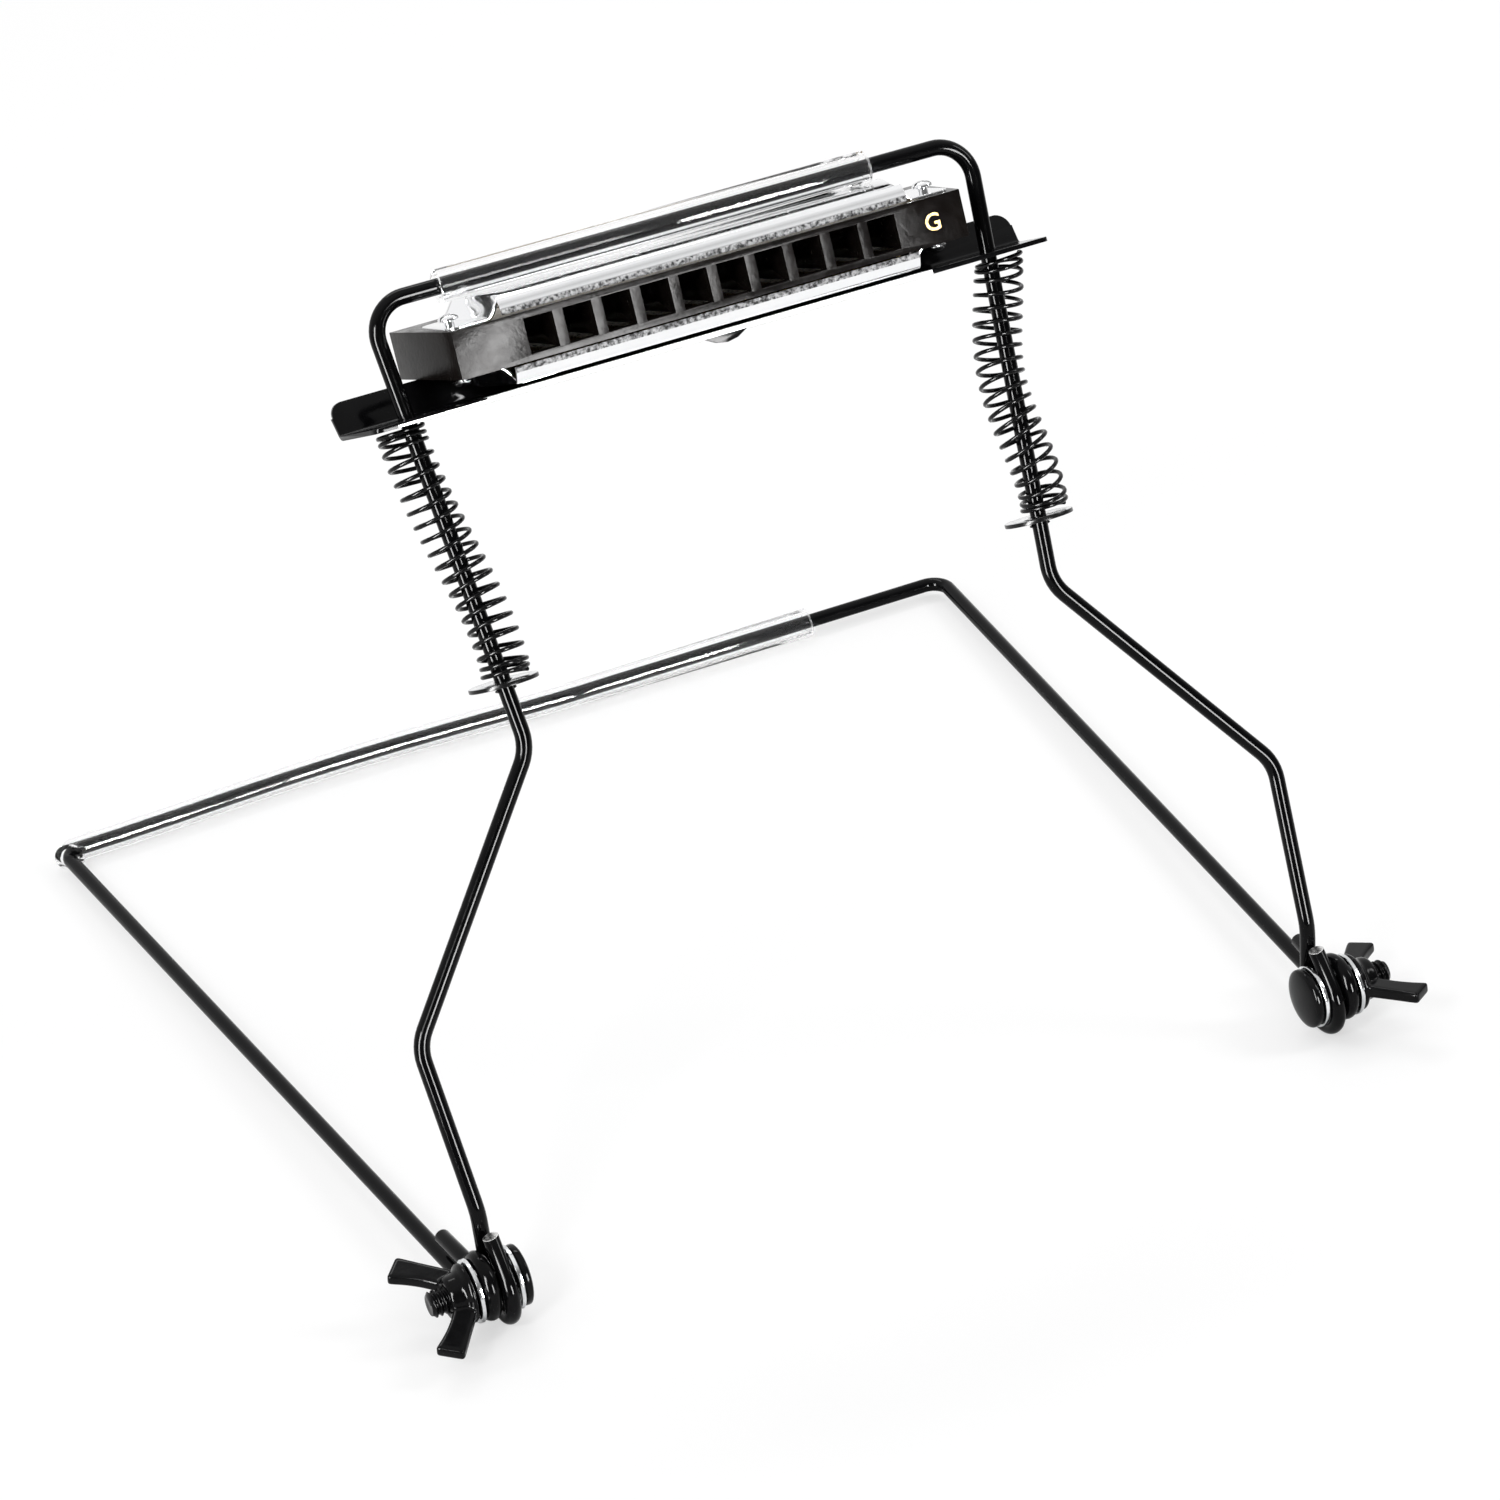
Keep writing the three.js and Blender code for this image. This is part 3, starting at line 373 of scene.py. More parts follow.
def relief(material, height, depth):
    """Raises a surface by a height, up to a depth in millimetres."""
    bump = material.node_tree.nodes.new("ShaderNodeBump")
    bump.inputs["Distance"].default_value = depth * mm
    bump.inputs["Strength"].default_value = 1
    material.node_tree.links.new(height, bump.inputs["Height"])
    surface = material.node_tree.nodes["Principled BSDF"]
    material.node_tree.links.new(bump.outputs["Normal"], surface.inputs["Normal"])


def cloudy_finish(name, tones, tone_size, gloss, gloss_size, grain=None, spread=(0, 1), **values):
    """A finish whose colour and roughness change slowly, each between two values.

    All sizes are in millimetres, and the grain is its size and depth. The spread is how far the
    clouds reach past the two tones. The values are the shader's own and the same all over.
    """
    material = bpy.data.materials.new(name)
    material.use_nodes = True
    surface = material.node_tree.nodes["Principled BSDF"]
    for socket, value in values.items():
        surface.inputs[socket.replace("_", " ")].default_value = value
    least, most = spread
    clouds = place_group(material, uneven, Size=tone_size * mm, Least=least, Most=most)
    two_tone(material, clouds.outputs["Value"], *tones, surface.inputs["Base Color"])
    shine = place_group(material, uneven, Size=gloss_size * mm, Least=gloss[0], Most=gloss[1])
    material.node_tree.links.new(shine.outputs["Value"], surface.inputs["Roughness"])
    if grain:
        size, depth = grain
        fine = place_group(material, uneven, Size=size * mm)
        relief(material, fine.outputs["Height"], depth)
    return material


def black_lacquer(name, tones, gloss, peel):
    """A black lacquer with a fine orange peel."""
    return cloudy_finish(
        name, tones, tone_size=12, gloss=gloss, gloss_size=4, grain=peel, Specular_IOR_Level=0.09,
    )


black_enamel = black_lacquer(
    "black_enamel", ((0.0015, 0.0015, 0.0018), (0.004, 0.004, 0.0045)),
    gloss=(0.06, 0.13), peel=(1.6, 0.01),
)


def yoke_eye(side):
    """The pinched eye, from the cut end to the arm."""
    reach = yoke_eye_radius + yoke_pinch_radius
    tail_z = yoke_tail_rise - yoke_eye_rise + yoke_pinch_radius
    arm_z = yoke_arm_drop + yoke_eye_rise + yoke_pinch_radius
    tail_y = math.sqrt(reach ** 2 - tail_z ** 2)
    arm_y = math.sqrt(reach ** 2 - arm_z ** 2)
    tail_turn = math.degrees(math.atan2(tail_z, tail_y))
    arm_turn = math.degrees(math.atan2(arm_z, arm_y))
    x = side * yoke_eye_place
    tail = on_yoke(x + side * yoke_tail_splay, yoke_tail_reach, yoke_tail_rise)
    arm = on_yoke(side * (yoke_eye_place + yoke_arm_splay), yoke_arm_start, -yoke_arm_drop)
    return [
        (tail, 0),
        *round_eye(
            on_yoke, x, tail_y, yoke_eye_rise + tail_z, yoke_pinch_radius, -90, tail_turn - 180,
        ),
        *round_eye(on_yoke, x, 0, yoke_eye_rise, yoke_eye_radius, tail_turn, 360 - arm_turn),
        *round_eye(
            on_yoke, x, arm_y, yoke_eye_rise - arm_z, yoke_pinch_radius, 180 - arm_turn, 90,
        ),
        (arm, arm_bend_radius * mm),
    ]


def neck_bar_route():
    """The corners of the neck bar from left to right. Its left part bows away from the pivots."""
    corners = [(on_yoke(-yoke_bar_half, yoke_reach, -yoke_arm_drop), yoke_corner_radius * mm)]
    for i in range(1, bar_pieces):
        x = 2 * yoke_bar_half * (bar_bow_share * i / bar_pieces - 0.5)
        bow = bar_bow * math.sin(math.pi * i / bar_pieces) ** 2
        corners.append((on_yoke(x, yoke_reach + bow, -yoke_arm_drop), bar_bow_radius * mm))
    corners.append((on_yoke(yoke_bar_half, yoke_reach, -yoke_arm_drop), yoke_corner_radius * mm))
    return corners


right_eye = yoke_eye(1)
right_eye.reverse()
neck_yoke = draw_wire("neck_yoke_wire", wire_radius, [*yoke_eye(-1), *neck_bar_route(), *right_eye])
round_cut_ends(neck_yoke, size=0.5)
smooth(neck_yoke)
dress(neck_yoke, "yoke", "black_enamel", black_enamel, "neck_yoke")

# The clear sleeve on the neck bar
# A length of clear soft plastic tube, pushed on over the wire as far as the left corner's bend.
# It is held by its own grip on the wire, and its square cut ends flare a little.
sleeve_wall = 0.95
neck_sleeve_end = 69.7
bare_bend = 27
flare_depth = 0.9
flare_share = 0.17


def give_wall(piece, thickness):
    """Gives the active piece, a bare surface, its wall on the inner side."""
    wall = piece.modifiers.new("wall", "SOLIDIFY")
    wall.thickness = thickness * mm
    wall.offset = -1
    bpy.ops.object.modifier_apply(modifier="wall")


def round_edges(piece, width, segments, angle):
    """Rounds the active piece's edges that are sharper than the angle."""
    edge = piece.modifiers.new("edge", "BEVEL")
    edge.width = width * mm
    edge.segments = segments
    edge.limit_method = "ANGLE"
    edge.angle_limit = math.radians(angle)
    bpy.ops.object.modifier_apply(modifier="edge")


def draw_sleeve(name, route):
    """Draws a tube: swept as a wire is, then given its wall, with cut ends that flare a little."""
    sleeve = draw_wire(name, sleeve_radius, route, sides=28, filled=False)
    give_wall(sleeve, sleeve_wall)
    round_edges(sleeve, width=0.12, segments=2, angle=60)
    for (end, _), (beside, _) in (route[:2], route[:-3:-1]):
        along = (beside - end).normalized()
        for vertex in sleeve.data.vertices:
            reach = vertex.co - end
            depth = reach.dot(along)
            if reach.length < 1.5 * sleeve_radius * mm and depth < flare_depth * mm:
                share = 1 - max(0, depth) / (flare_depth * mm)
                vertex.co += (reach - along * depth) * flare_share * share ** 2
    smooth(sleeve)
    return sleeve


clear_sleeve = cloudy_finish(
    "clear_sleeve", ((0.95, 0.955, 0.96), (0.99, 0.99, 0.99)), tone_size=30,
    gloss=(0, 0.09), gloss_size=45, grain=(1.6, 0.005), Transmission_Weight=1.0, IOR=1.33,
)

bar = neck_bar_route()
arm_foot = on_yoke(-(yoke_eye_place + yoke_arm_splay), yoke_arm_start, -yoke_arm_drop)
into = (bar[0][0] - arm_foot).normalized()
onward = (bar[1][0] - bar[0][0]).normalized()
whole_bend = into.angle(onward)
axis = into.cross(onward).normalized()
bend_start = bar[0][0] - into * yoke_corner_radius * mm * math.tan(whole_bend / 2)
centre = bend_start + axis.cross(into) * yoke_corner_radius * mm
bare = Matrix.Rotation(math.radians(bare_bend), 3, axis)
sleeve_start = centre + bare @ (bend_start - centre)
rest = whole_bend - math.radians(bare_bend)
sleeve_corner = sleeve_start + bare @ into * yoke_corner_radius * mm * math.tan(rest / 2)
sleeve_route = [
    (sleeve_start, 0),
    (sleeve_corner, yoke_corner_radius * mm),
    *bar[1:-1],
    (on_yoke(neck_sleeve_end, yoke_reach, -yoke_arm_drop), 0),
]
neck_sleeve = draw_sleeve("neck_sleeve_tube", sleeve_route)
dress(neck_sleeve, "yoke", "clear_sleeve", clear_sleeve, "neck_sleeve")

# The clamp frame
# One more 3 mm steel wire in the same enamel: an eye, a foot, a knee and an upright on each side,
# and the clamp bar on top. Its cut tails stay bare. Pinched ears in the uprights carry the springs.
lean = math.radians(25.8)
frame_eye_place = 84.85
frame_eye_radius = 5.6
frame_eye_drop = 1.2
frame_tail_turn = 135
frame_tail_length = 8.3
frame_foot_radius = 9
frame_foot_splay = 0.45
frame_bend_radius = 8.5
frame_top_radius = 6.5
knee_height = 44.7
knee_half = 87.3
waist_height = 89.7
waist_half = 53
bar_height = 172.69
bar_half = 59.6
stop_height = 101.6
ear_reach = 2.1
ear_height = 1
ear_thickness = 0.9
ear_clearance = 0.3
cut_reach = 1.6
cut_depth = 0.3
cut_slant = 0.6
bare_reach = 2.2


def on_frame(x, depth, height):
    """A place on the leaning frame, in millimetres from the pivots' line along the lean."""
    return pivot + mm * Vector((
        x,
        depth * math.cos(lean) + height * math.sin(lean),
        height * math.cos(lean) - depth * math.sin(lean),
    ))


def at_pivot(x, y, z):
    """A place in millimetres from the pivots' line, upright."""
    return pivot + mm * Vector((x, y, z))


def upright_place(height):
    """Half the distance between the two uprights at a height over the waist."""
    share = (height - waist_height) / (bar_height - waist_height)
    return waist_half + (bar_half - waist_half) * share


def frame_side(side):
    """One side of the frame, from the cut tail to the corner of the clamp bar."""
    x = side * frame_eye_place
    tail_angle = math.radians(frame_tail_turn)
    leaving = (frame_eye_radius * math.cos(tail_angle), frame_eye_radius * math.sin(tail_angle))
    tail_run = frame_tail_length * math.sqrt(0.5)
    tail = at_pivot(x, leaving[0] + tail_run, leaving[1] - frame_eye_drop + tail_run)
    foot = frame_eye_radius / math.sin(lean)
    return [
        (tail, 0),
        *round_eye(at_pivot, x, 0, -frame_eye_drop, frame_eye_radius, frame_tail_turn - 360, 0),
        (on_frame(side * (frame_eye_place + frame_foot_splay), 0, foot), frame_foot_radius * mm),
        (on_frame(side * knee_half, 0, knee_height), frame_bend_radius * mm),
        (on_frame(side * waist_half, 0, waist_height), frame_bend_radius * mm),
        (on_frame(side * bar_half, 0, bar_height), frame_top_radius * mm),
    ]


frame_right = frame_side(1)
frame_right.reverse()
clamp_frame = draw_wire("clamp_frame_wire", wire_radius, [*frame_side(-1), *frame_right])
round_cut_ends(clamp_frame, size=0.15)

# The cut tails were sheared slantwise, so their faces look up to the front.
slant_side = Vector((-0.334, -0.667, 0.667))
for side in (-1, 1):
    tail, leaving = [corner[0] for corner in frame_side(side)[:2]]
    along = (tail - leaving).normalized()
    for vertex in clamp_frame.data.vertices:
        reach = vertex.co - tail
        if reach.length < cut_reach * mm and reach.dot(along) > -cut_depth * mm:
            vertex.co -= along * reach.dot(slant_side) * cut_slant

lean_turn = Matrix.Rotation(-lean, 4, "X")
ears = []
for side in (-1, 1):
    height = stop_height - ear_clearance - ear_height / 2
    bpy.ops.object.select_all(action="DESELECT")
    bpy.ops.mesh.primitive_uv_sphere_add(segments=24, ring_count=14, radius=mm)
    ear = bpy.context.object
    ear.data.transform(Matrix.Diagonal((ear_reach, ear_thickness, ear_height / 2, 1)))
    place = Matrix.Translation(on_frame(side * upright_place(height), 0, height))
    ear.data.transform(place @ lean_turn)
    ears.append(ear)
pick(*ears, clamp_frame)
bpy.ops.object.join()
smooth(clamp_frame)
dress(clamp_frame, "frame", "black_enamel", black_enamel, "clamp_frame")

# The cut tails show bright steel with the shear's fine lines.
bare_steel = cloudy_finish(
    "bare_steel", ((0.5, 0.49, 0.48), (0.92, 0.92, 0.92)), tone_size=0.4,
    gloss=(0.2, 0.38), gloss_size=0.6, grain=(0.4, 0.04), Metallic=1.0,
)
clamp_frame.data.materials.append(bare_steel)
for side in (-1, 1):
    tail, leaving = [corner[0] for corner in frame_side(side)[:2]]
    cut = ((tail - leaving).normalized() + slant_side * cut_slant).normalized()
    for face in clamp_frame.data.polygons:
        if (face.center - tail).length < bare_reach * mm and face.normal.dot(cut) > 0.75:
            face.material_index = 1
            face.use_smooth = False

# The clear sleeve on the clamp bar
# The same soft tube, threaded on before the second corner of the clamp bar was bent.
# It grips the wire, and the springs press the harmonica up to it.
clamp_sleeve_left = 46
clamp_sleeve_right = 38.8
ends = [(on_frame(x, 0, bar_height), 0) for x in (-clamp_sleeve_left, clamp_sleeve_right)]
clamp_sleeve = draw_sleeve("clamp_sleeve_tube", ends)
dress(clamp_sleeve, "frame", "clear_sleeve", clear_sleeve, "clamp_sleeve")

# The stop washers
# Plain punched washers, bright zinc on steel. Each lies on the ears of its upright, loose on the
# wire, and carries the foot of its spring.
zinc_steel = cloudy_finish(
    "zinc_steel", ((0.5, 0.51, 0.52), (0.86, 0.87, 0.88)), tone_size=2.5,
    gloss=(0.08, 0.22), gloss_size=1.2, grain=(0.5, 0.03), Metallic=1.0,
)


def turned(name, section, steps=64):
    """A turned piece: a closed section, as (radius, height) in millimetres, is spun round Z."""
    bpy.ops.object.select_all(action="DESELECT")
    bpy.ops.mesh.primitive_circle_add(vertices=len(section), radius=mm, fill_type="NOTHING")
    piece = bpy.context.object
    piece.name = name
    for vertex, (radius, height) in zip(piece.data.vertices, section):
        vertex.co = (radius * mm, 0, height * mm)
    bpy.ops.object.mode_set(mode="EDIT")
    bpy.ops.mesh.select_all(action="SELECT")
    bpy.ops.mesh.spin(steps=steps, angle=2 * math.pi, center=(0, 0, 0), axis=(0, 0, 1))
    bpy.ops.mesh.select_all(action="SELECT")
    bpy.ops.mesh.remove_doubles(threshold=0.002 * mm)
    bpy.ops.mesh.dissolve_degenerate(threshold=0.002 * mm)
    bpy.ops.mesh.normals_make_consistent(inside=False)
    bpy.ops.object.mode_set(mode="OBJECT")
    return piece


def washer_section(bore, radius, thickness, edge):
    """A punched washer's section: rolled over edge on top, a slight burr angle below."""
    return [
        (bore + edge / 2, 0), (radius - edge / 2, 0), (radius, edge / 2),
        (radius, thickness - edge), (radius - edge * 0.3, thickness - edge * 0.3),
        (radius - edge, thickness),
        (bore + edge, thickness), (bore, thickness - edge), (bore, edge / 2),
    ]


# The punched rim and the side away from the spring are dark: painted shade on the faces that don't
# look up.
painted_shade_rim = cloudy_finish(
    "painted_shade_rim", ((0.004, 0.004, 0.004), (0.02, 0.02, 0.021)), tone_size=1,
    gloss=(0.12, 0.3), gloss_size=1.2, Specular_IOR_Level=0.2,
)
stop_section = washer_section(bore=1.8, radius=6.5, thickness=0.8, edge=0.15)
both_sides = ((-1, "left"), (1, "right"))
upward = lean_turn.to_3x3() @ Vector((0, 0, 1))
for side, word in both_sides:
    stop = turned(f"stop_washer_{word}_ring", stop_section)
    x = side * upright_place(stop_height + 0.5)
    stop.data.transform(Matrix.Translation(on_frame(x, 0, stop_height)) @ lean_turn)
    smooth(stop)
    dress(stop, "frame", "zinc_steel", zinc_steel, f"stop_washer_{word}")
    # The faces that don't look up take the second finish, painted shade.
    stop.data.materials.append(painted_shade_rim)
    for face in stop.data.polygons:
        if face.normal.dot(upward) < 0.5:
            face.material_index = 1

# The springs
# Compression springs of thin black spring wire with close turns at both ends. They are a little
# long for their place, so they bow round the uprights, and they press the shelf up.
spring_radius = 4.2
spring_wire_radius = 0.41
spring_turns = 20
closed_turns = 2
closed_pitch = 1.22
spring_foot = 102.9
spring_head = 150.55
turn_steps = 28
# Each bow: reach, shift, waves, phase across, and reach, waves, phase, drift in depth.
left_bow = ((1.5, -0.35, 0.8, 25), (0.55, 1.4, -141, 3))
right_bow = ((1.7, -0.1, 1.05, 81), (1.3, 1.15, 166, 0))

black_spring = cloudy_finish(
    "black_spring", ((0.002, 0.002, 0.0025), (0.006, 0.006, 0.0065)), tone_size=2,
    gloss=(0.08, 0.16), gloss_size=1, Specular_IOR_Level=0.16,
)


def coil_height(turns):
    """The height of the spring wire's middle after some turns."""
    low = spring_foot + spring_wire_radius
    high = spring_head - spring_wire_radius
    closed = closed_turns * closed_pitch
    if turns < closed_turns:
        return low + turns * closed_pitch
    if turns > spring_turns - closed_turns:
        return high - (spring_turns - turns) * closed_pitch
    open_pitch = (high - low - 2 * closed) / (spring_turns - 2 * closed_turns)
    return low + closed + (turns - closed_turns) * open_pitch


def bowed(share, reach, waves, phase, drift=0):
    """How far the coil's middle stands off at a share of its length, and how steeply it changes."""
    angle = 2 * math.pi * waves * share + math.radians(phase)
    steep = 2 * math.pi * waves * reach * math.cos(angle) + drift
    return reach * math.sin(angle) + drift * (share - 0.5), steep / (spring_head - spring_foot)


for side, word, bow in ((-1, "left", left_bow), (1, "right", right_bow)):
    (reach, shift, waves, phase), depth_bow = bow
    steps = spring_turns * turn_steps
    wire = bpy.data.curves.new(f"spring_{word}_line", "CURVE")
    wire.dimensions = "3D"
    wire.bevel_depth = spring_wire_radius * mm
    wire.bevel_resolution = 2
    wire.use_fill_caps = True
    line = wire.splines.new("POLY")
    line.points.add(steps)
    for i, point in enumerate(line.points):
        turns = spring_turns * i / steps
        height = coil_height(turns)
        across, slant = bowed(i / steps, reach, waves, phase)
        depth, tip = bowed(i / steps, *depth_bow)
        settle = min(1, turns / closed_turns, (spring_turns - turns) / closed_turns)
        angle = 2 * math.pi * turns
        x = side * upright_place(height) + shift + across + spring_radius * math.cos(angle)
        y = depth + spring_radius * math.sin(angle)
        leaning = slant * math.cos(angle) + tip * math.sin(angle)
        point.co = (*on_frame(x, y, height - settle * spring_radius * leaning), 1)
    spring = bpy.data.objects.new(f"spring_{word}_coil", wire)
    bpy.context.collection.objects.link(spring)
    pick(spring)
    bpy.ops.object.convert(target="MESH")
    bpy.ops.object.mode_set(mode="EDIT")
    bpy.ops.mesh.select_all(action="SELECT")
    bpy.ops.mesh.remove_doubles(threshold=0.002 * mm)
    bpy.ops.mesh.normals_make_consistent(inside=False)
    bpy.ops.object.mode_set(mode="OBJECT")
    smooth(spring, 60)
    dress(spring, "frame", "black_spring", black_spring, f"spring_{word}")
    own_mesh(spring)

# The shelf
# A strip of thin sheet steel in black enamel, cut with two slots for the uprights, with its back
# edge bent up behind the harmonica and a small lip pressed down. Its front edge carries a painted
# highlight, and the strip behind it under the cover a painted reflection of the cover.
harp_turn = math.radians(20.3)
bright_from = -62
cover_from = -45
bright_to = 43
front_depth = 0.3
reflection_depth = 2.8
highlight_rise = 0.1
edge_rise = 0.5
black_sheet = black_lacquer(
    "black_sheet", ((0.0015, 0.0015, 0.0018), (0.005, 0.005, 0.0055)),
    gloss=(0.08, 0.18), peel=(2.2, 0.015),
)


def finer_copy(node, name):
    """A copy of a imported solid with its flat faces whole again."""
    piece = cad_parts[node].copy()
    piece.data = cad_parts[node].data.copy()
    piece.name = name
    piece.hide_render = False
    piece.hide_viewport = False
    bpy.context.collection.objects.link(piece)
    world_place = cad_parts[node].matrix_world.copy()
    piece.parent = None
    piece.matrix_world = world_place
    piece.animation_data_clear()
    for key in list(piece.keys()):
        del piece[key]
    pick(piece)
    bpy.ops.object.transform_apply(location=True, rotation=True, scale=True)
    bpy.ops.object.mode_set(mode="EDIT")
    bpy.ops.mesh.select_all(action="SELECT")
    bpy.ops.mesh.remove_doubles(threshold=0.002 * mm)
    bpy.ops.mesh.dissolve_limited(angle_limit=math.radians(1.5))
    bpy.ops.object.mode_set(mode="OBJECT")
    return piece


def cut_through(place, across, **how):
    """Cuts the mesh that is being edited along a plane."""
    bpy.ops.mesh.select_all(action="SELECT")
    bpy.ops.mesh.bisect(plane_co=place, plane_no=across, **how)


shelf = finer_copy("shelf_plate", "shelf_sheet")
round_edges(shelf, width=0.2, segments=2, angle=30)
dress(shelf, "shelf", "black_sheet", black_sheet, "shelf_plate")

# A light finish is a painted highlight on the front edge and a painted reflection of the bright
# cover on the top strip behind it.
painted_highlight_edge = cloudy_finish(
    "painted_highlight_edge", ((0.8, 0.8, 0.8), (0.95, 0.95, 0.95)), tone_size=3,
    gloss=(0.4, 0.55), gloss_size=2, Metallic=0.4,
)
shelf.data.materials.append(painted_highlight_edge)
forward = Vector((0, -math.cos(harp_turn), math.sin(harp_turn)))
upward = Vector((0, math.sin(harp_turn), math.cos(harp_turn)))
foremost = max(vertex.co.dot(forward) for vertex in shelf.data.vertices)
lowest = min(
    vertex.co.dot(upward) for vertex in shelf.data.vertices
    if vertex.co.dot(forward) > foremost - front_depth * mm and vertex.co.x < cover_from * mm
)
pick(shelf)
bpy.ops.object.mode_set(mode="EDIT")
for rise in (highlight_rise, edge_rise):
    cut_through(upward * (lowest + rise * mm), upward)
cut_through(forward * (foremost - reflection_depth * mm), forward)
for along in (bright_from, cover_from, bright_to):
    cut_through((along * mm, 0, 0), (1, 0, 0))
bpy.ops.object.mode_set(mode="OBJECT")
# The front face takes the painted highlight, and the top strip behind it the painted reflection of
# the cover.
for face in shelf.data.polygons:
    along = face.center.x / mm
    rise = (face.center.dot(upward) - lowest) / mm
    depth = (foremost - face.center.dot(forward)) / mm
    ahead = face.normal.dot(forward) > 0.9 and depth < front_depth
    above = face.normal.dot(upward) > 0.3 and depth < reflection_depth
    if cover_from < along < bright_to and rise > highlight_rise and (ahead or above):
        face.material_index = 1
    if bright_from < along < cover_from and highlight_rise < rise < edge_rise and ahead:
        face.material_index = 1
smooth(shelf, 40)

# The pivot bolts
# Domed black screws, put through both wire eyes from the inside. Their threaded ends stand out of
# the wing nuts, cut square and a little worn.
bolt_radius = 2.5
bolt_seat = 81.95
bolt_end = 98.6
thread_pitch = 1
thread_depth = 0.42
thread_start = 7
thread_end = 0.3
thread_bevel = 0.45
ring_step = 0.05
head_radius = 5.7
head_rim = 1
head_dome = 1.1
black_hardware = black_lacquer(
    "black_hardware", ((0.002, 0.002, 0.0022), (0.006, 0.006, 0.0065)),
    gloss=(0.07, 0.16), peel=(1.2, 0.012),
)


def outwards(side, place, turn=0):
    """Stands a turned piece on the pivots' line, with its top outwards."""
    tilt = math.radians(turn)
    along = Vector((side, 0, 0))
    first = Vector((0, math.cos(tilt), math.sin(tilt)))
    second = along.cross(first)
    frame_of = Matrix((first, second, along)).transposed().to_4x4()
    return Matrix.Translation(at_pivot(side * place, 0, 0)) @ frame_of


shank = bolt_end - bolt_seat
ring_count = int((shank - thread_bevel - thread_start) / ring_step)
dome_arcs = [step * math.pi / 16 for step in range(8)]
bolt_section = [
    (0, shank - 0.1), (0.7, shank), (bolt_radius - 0.55, shank), (bolt_radius - 0.12, shank - 0.4),
    *[(bolt_radius, shank - thread_bevel - ring_step * i) for i in range(ring_count)],
    (bolt_radius - 0.15, thread_start - 0.3), (bolt_radius - 0.15, 0.2), (bolt_radius + 0.1, 0),
    (head_radius - 0.4, 0), (head_radius - 0.1, -0.12), (head_radius, -0.4),
    *[(head_radius * math.cos(arc), -head_rim - head_dome * math.sin(arc)) for arc in dome_arcs],
    (0, -head_rim - head_dome),
]
for side, word in both_sides:
    bolt = turned(f"pivot_bolt_{word}_screw", bolt_section, steps=48)
    for vertex in bolt.data.vertices:
        radius = math.hypot(vertex.co.x, vertex.co.y)
        height = vertex.co.z / mm
        if radius > 0.9 * bolt_radius * mm and thread_start < height < shank - thread_end:
            turns = height / thread_pitch - math.atan2(vertex.co.y, vertex.co.x) / (2 * math.pi)
            flank = abs(2 * (turns % 1) - 1)
            cut = thread_depth * max(0, min(1, 1.5 * flank - 0.25))
            vertex.co.x *= (bolt_radius - cut) * mm / radius
            vertex.co.y *= (bolt_radius - cut) * mm / radius
    bolt.data.transform(outwards(side, bolt_seat))
    smooth(bolt, 40)
    dress(bolt, "frame", "black_hardware", black_hardware, f"pivot_bolt_{word}")

# The pivot washers
# Thin punched washers in bright zinc, loose on the bolts: one between each bolt's head and the
# frame's eye, and one under each wing nut, which moves with its nut.
pivot_section = washer_section(bore=2.8, radius=6, thickness=0.8, edge=0.2)
inner_washer_place = 82.25
outer_washer_place = 89.95
for side, word in both_sides:
    for name, body, place in (
        (f"inner_washer_{word}", "frame", inner_washer_place),
        (f"outer_washer_{word}", f"washer_{word}", outer_washer_place),
    ):
        washer = turned(f"{name}_ring", pivot_section)
        washer.data.transform(outwards(side, place))
        smooth(washer)
        dress(washer, body, "zinc_steel", zinc_steel, name)

# The wing nuts
# Pressed steel wing nuts in black: a round hub on a flange, with two flat wings whose ends are cut
# off. They run on the bolts' threads and clamp the two wires' eyes together at any angle.
nut_seat = 91.05
nut_height = 4.3
nut_grain = 0.16
wing_reach = 11.7
wing_width = 4.4
wing_thickness = 2.5
wing_root = 3.1
wing_base = 1.6
wing_flare = math.radians(42)
wing_curl = 1.3
wing_inlet = 1.4
wing_clearance = 0.55
wing_start = 3
wing_cuts = 9
wing_taper = 0.14
wing_spread = 0.2
wing_waist = 0.1
waist_share = 0.9


def wing_blade(turn, flare):
    """One wing: a bar shaped at its foot and rounded at its cut end."""
    length = (wing_reach - wing_root) / math.cos(wing_flare)
    foot = Matrix.Translation((wing_root * mm, 0, wing_base * mm))
    bpy.ops.object.select_all(action="DESELECT")
    bpy.ops.mesh.primitive_cube_add(size=mm)
    blade = bpy.context.object
    blade.data.transform(Matrix.Translation((0.5 * mm, 0, 0)))
    blade.data.transform(Matrix.Diagonal((length + wing_inlet, wing_thickness, wing_width, 1)))
    blade.data.transform(Matrix.Translation((-wing_inlet * mm, 0, 0)))
    round_edges(blade, width=0.5, segments=3, angle=30)
    bpy.ops.object.mode_set(mode="EDIT")
    for cut in range(1, wing_cuts):
        cut_through((cut * length / wing_cuts * mm, 0, 0), (1, 0, 0))
    bpy.ops.object.mode_set(mode="OBJECT")
    for vertex in blade.data.vertices:
        share = max(0, vertex.co.x / (length * mm))
        waist = math.sin(math.pi * min(1, share * 1.1)) if share < waist_share else 0
        vertex.co.y *= 1 - wing_taper * share
        vertex.co.z *= 1 + wing_spread * share ** 2 - wing_waist * waist
        vertex.co.z += wing_curl * mm * (share * share - share)
    blade.data.transform(Matrix.Rotation(turn, 4, "Z") @ foot @ Matrix.Rotation(-flare, 4, "Y"))
    outward = Vector((math.cos(turn), math.sin(turn), 0))
    bpy.ops.object.mode_set(mode="EDIT")
    cut_through((0, 0, wing_clearance * mm), (0, 0, 1), use_fill=True, clear_inner=True)
    cut_through(outward * wing_start * mm, outward, use_fill=True, clear_inner=True)
    bpy.ops.object.mode_set(mode="OBJECT")
    return blade


